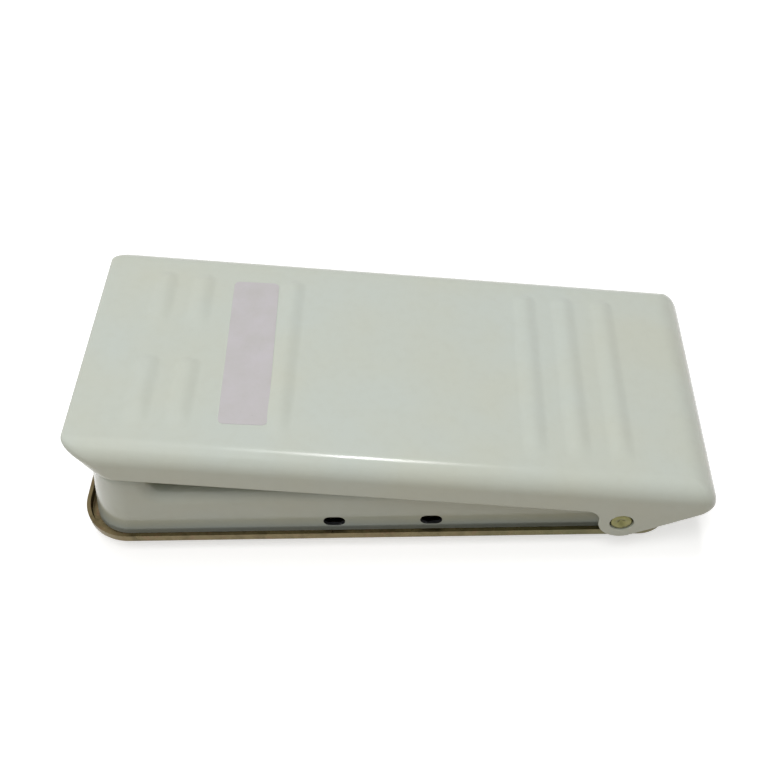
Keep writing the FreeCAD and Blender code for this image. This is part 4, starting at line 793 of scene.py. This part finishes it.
def pale_floor():
    """A plain floor that shows white to the camera and keeps the soft shadow. Its glow grows
    with the distance from the pedal, where the lamps no longer reach."""
    reach, near, far = 3.0, 0.35, 1.0
    mesh = bpy.data.meshes.new("floor")
    mesh.from_pydata([(-reach, -reach, 0), (reach, -reach, 0), (reach, reach, 0), (-reach, reach, 0)],
                     [], [[0, 1, 2, 3]])
    material = bpy.data.materials.new("pale_floor")
    material.use_nodes = True
    tree = material.node_tree
    tree.nodes.clear()
    matt = add(tree, "ShaderNodeBsdfDiffuse", {"Color": linear("#e6e6e6")})
    place = add(tree, "ShaderNodeTexCoord").outputs["Object"]
    away = add(tree, "ShaderNodeVectorMath", {0: place}, operation="LENGTH").outputs["Value"]
    strength = add(tree, "ShaderNodeMapRange", {
        "Value": away, "From Min": near, "From Max": far, "To Min": 0.6, "To Max": 1.0})
    glow = add(tree, "ShaderNodeEmission", {
        "Color": (1, 1, 1, 1), "Strength": strength.outputs["Result"]})
    both = add(tree, "ShaderNodeAddShader", {0: matt.outputs[0], 1: glow.outputs[0]})
    # Bounced light meets a darker floor, like the bench under the real one.
    quiet = add(tree, "ShaderNodeBsdfDiffuse", {"Color": linear("#8c7c58")})
    seen = add(tree, "ShaderNodeMixShader", {
        0: seen_directly(tree), 1: quiet.outputs[0], 2: both.outputs[0]})
    add(tree, "ShaderNodeOutputMaterial", {"Surface": seen.outputs[0]})
    mesh.materials.append(material)
    item = bpy.data.objects.new("floor", mesh)
    bpy.context.scene.collection.objects.link(item)


def studio_world():
    """Even light from all round, and white where the camera looks past the floor."""
    world = bpy.data.worlds.new("studio")
    bpy.context.scene.world = world
    world.use_nodes = True
    tree = world.node_tree
    tree.nodes.clear()
    dim = add(tree, "ShaderNodeBackground", {"Color": linear("#eae6d6"), "Strength": 0.12})
    white = add(tree, "ShaderNodeBackground", {"Color": (1, 1, 1, 1), "Strength": 1.0})
    seen = add(tree, "ShaderNodeMixShader", {
        0: seen_directly(tree), 1: dim.outputs[0], 2: white.outputs[0]})
    add(tree, "ShaderNodeOutputWorld", {"Surface": seen.outputs[0]})


# Soft boxes: place and aim in metres, width and height in metres, power in watts, and whether
# the gloss mirrors it.
MIDDLE = (0, 0, 0.02)
LAMPS = {
    "front": ((-0.12, -0.36, 0.92), MIDDLE, 0.45, 0.45, 3.25, False),
    "low_front": ((-0.15, -0.9, 0.22), MIDDLE, 0.9, 0.35, 1.3, False),
    "ceiling": ((-0.06, 0.2, 0.94), MIDDLE, 0.5, 0.5, 2.3, False),
    # These two make the highlight on the near roll.
    "shade": ((0.14, 0.19, 0.96), (0.14, -0.04, 0.03), 0.24, 0.2, 0.5, True),
    "bulb": ((0.15, 0.15, 0.97), (0.15, -0.04, 0.03), 0.06, 0.19, 1.1, True),
    "left": ((-0.9, -0.08, 0.5), MIDDLE, 0.6, 0.6, 0.75, True),
    "right": ((0.9, 0.15, 0.55), MIDDLE, 0.7, 0.7, 0.65, True)}


def soft_lamp(name, place, aim, width, height, power, mirrored):
    """One soft box, aimed at a point."""
    data = bpy.data.lights.new(name, "AREA")
    data.shape, data.size, data.size_y, data.energy = "RECTANGLE", width, height, power
    item = bpy.data.objects.new(name, data)
    bpy.context.scene.collection.objects.link(item)
    item.location = place
    item.rotation_euler = (Vector(aim) - Vector(place)).to_track_quat("-Z", "Y").to_euler()
    item.visible_glossy = mirrored


# The photo's width and the camera's focal length and axis, in pixels of the photo, and the
# width of its sensor in millimetres.
PHOTO, FOCAL, AXIS_X, AXIS_Y = 782, 1100, 385.6, 390.7
SENSOR = 36.0


def photo_camera():
    """The camera, fitted to the corners that show: its place from the pin, three turns and lens."""
    yaw, pitch, roll = math.radians(-5.70), math.radians(-47.70), math.radians(-5.60)
    ahead = Vector((math.sin(yaw) * math.cos(pitch), math.cos(yaw) * math.cos(pitch), math.sin(pitch)))
    right = Vector((math.cos(yaw), -math.sin(yaw), 0))
    up = right.cross(ahead)
    level = right * math.cos(roll) + up * math.sin(roll)
    rise = up * math.cos(roll) - right * math.sin(roll)
    data = bpy.data.cameras.new("camera")
    data.sensor_width, data.lens = SENSOR, SENSOR * FOCAL / PHOTO
    data.shift_x, data.shift_y = (PHOTO / 2 - AXIS_X) / PHOTO, (AXIS_Y - PHOTO / 2) / PHOTO
    data.clip_start = 0.02
    item = bpy.data.objects.new("camera", data)
    bpy.context.scene.collection.objects.link(item)
    place = Vector((PIN[0] - 47.49, -237.23, PIN[2] + 274.84)) * MM
    turn = Matrix((level, rise, -ahead)).transposed().to_4x4()
    item.matrix_world = Matrix.Translation(place) @ turn
    bpy.context.scene.camera = item


pale_floor()
studio_world()
for name, settings in LAMPS.items():
    soft_lamp(name, *settings)
photo_camera()
bpy.context.scene.view_settings.view_transform = "Standard"
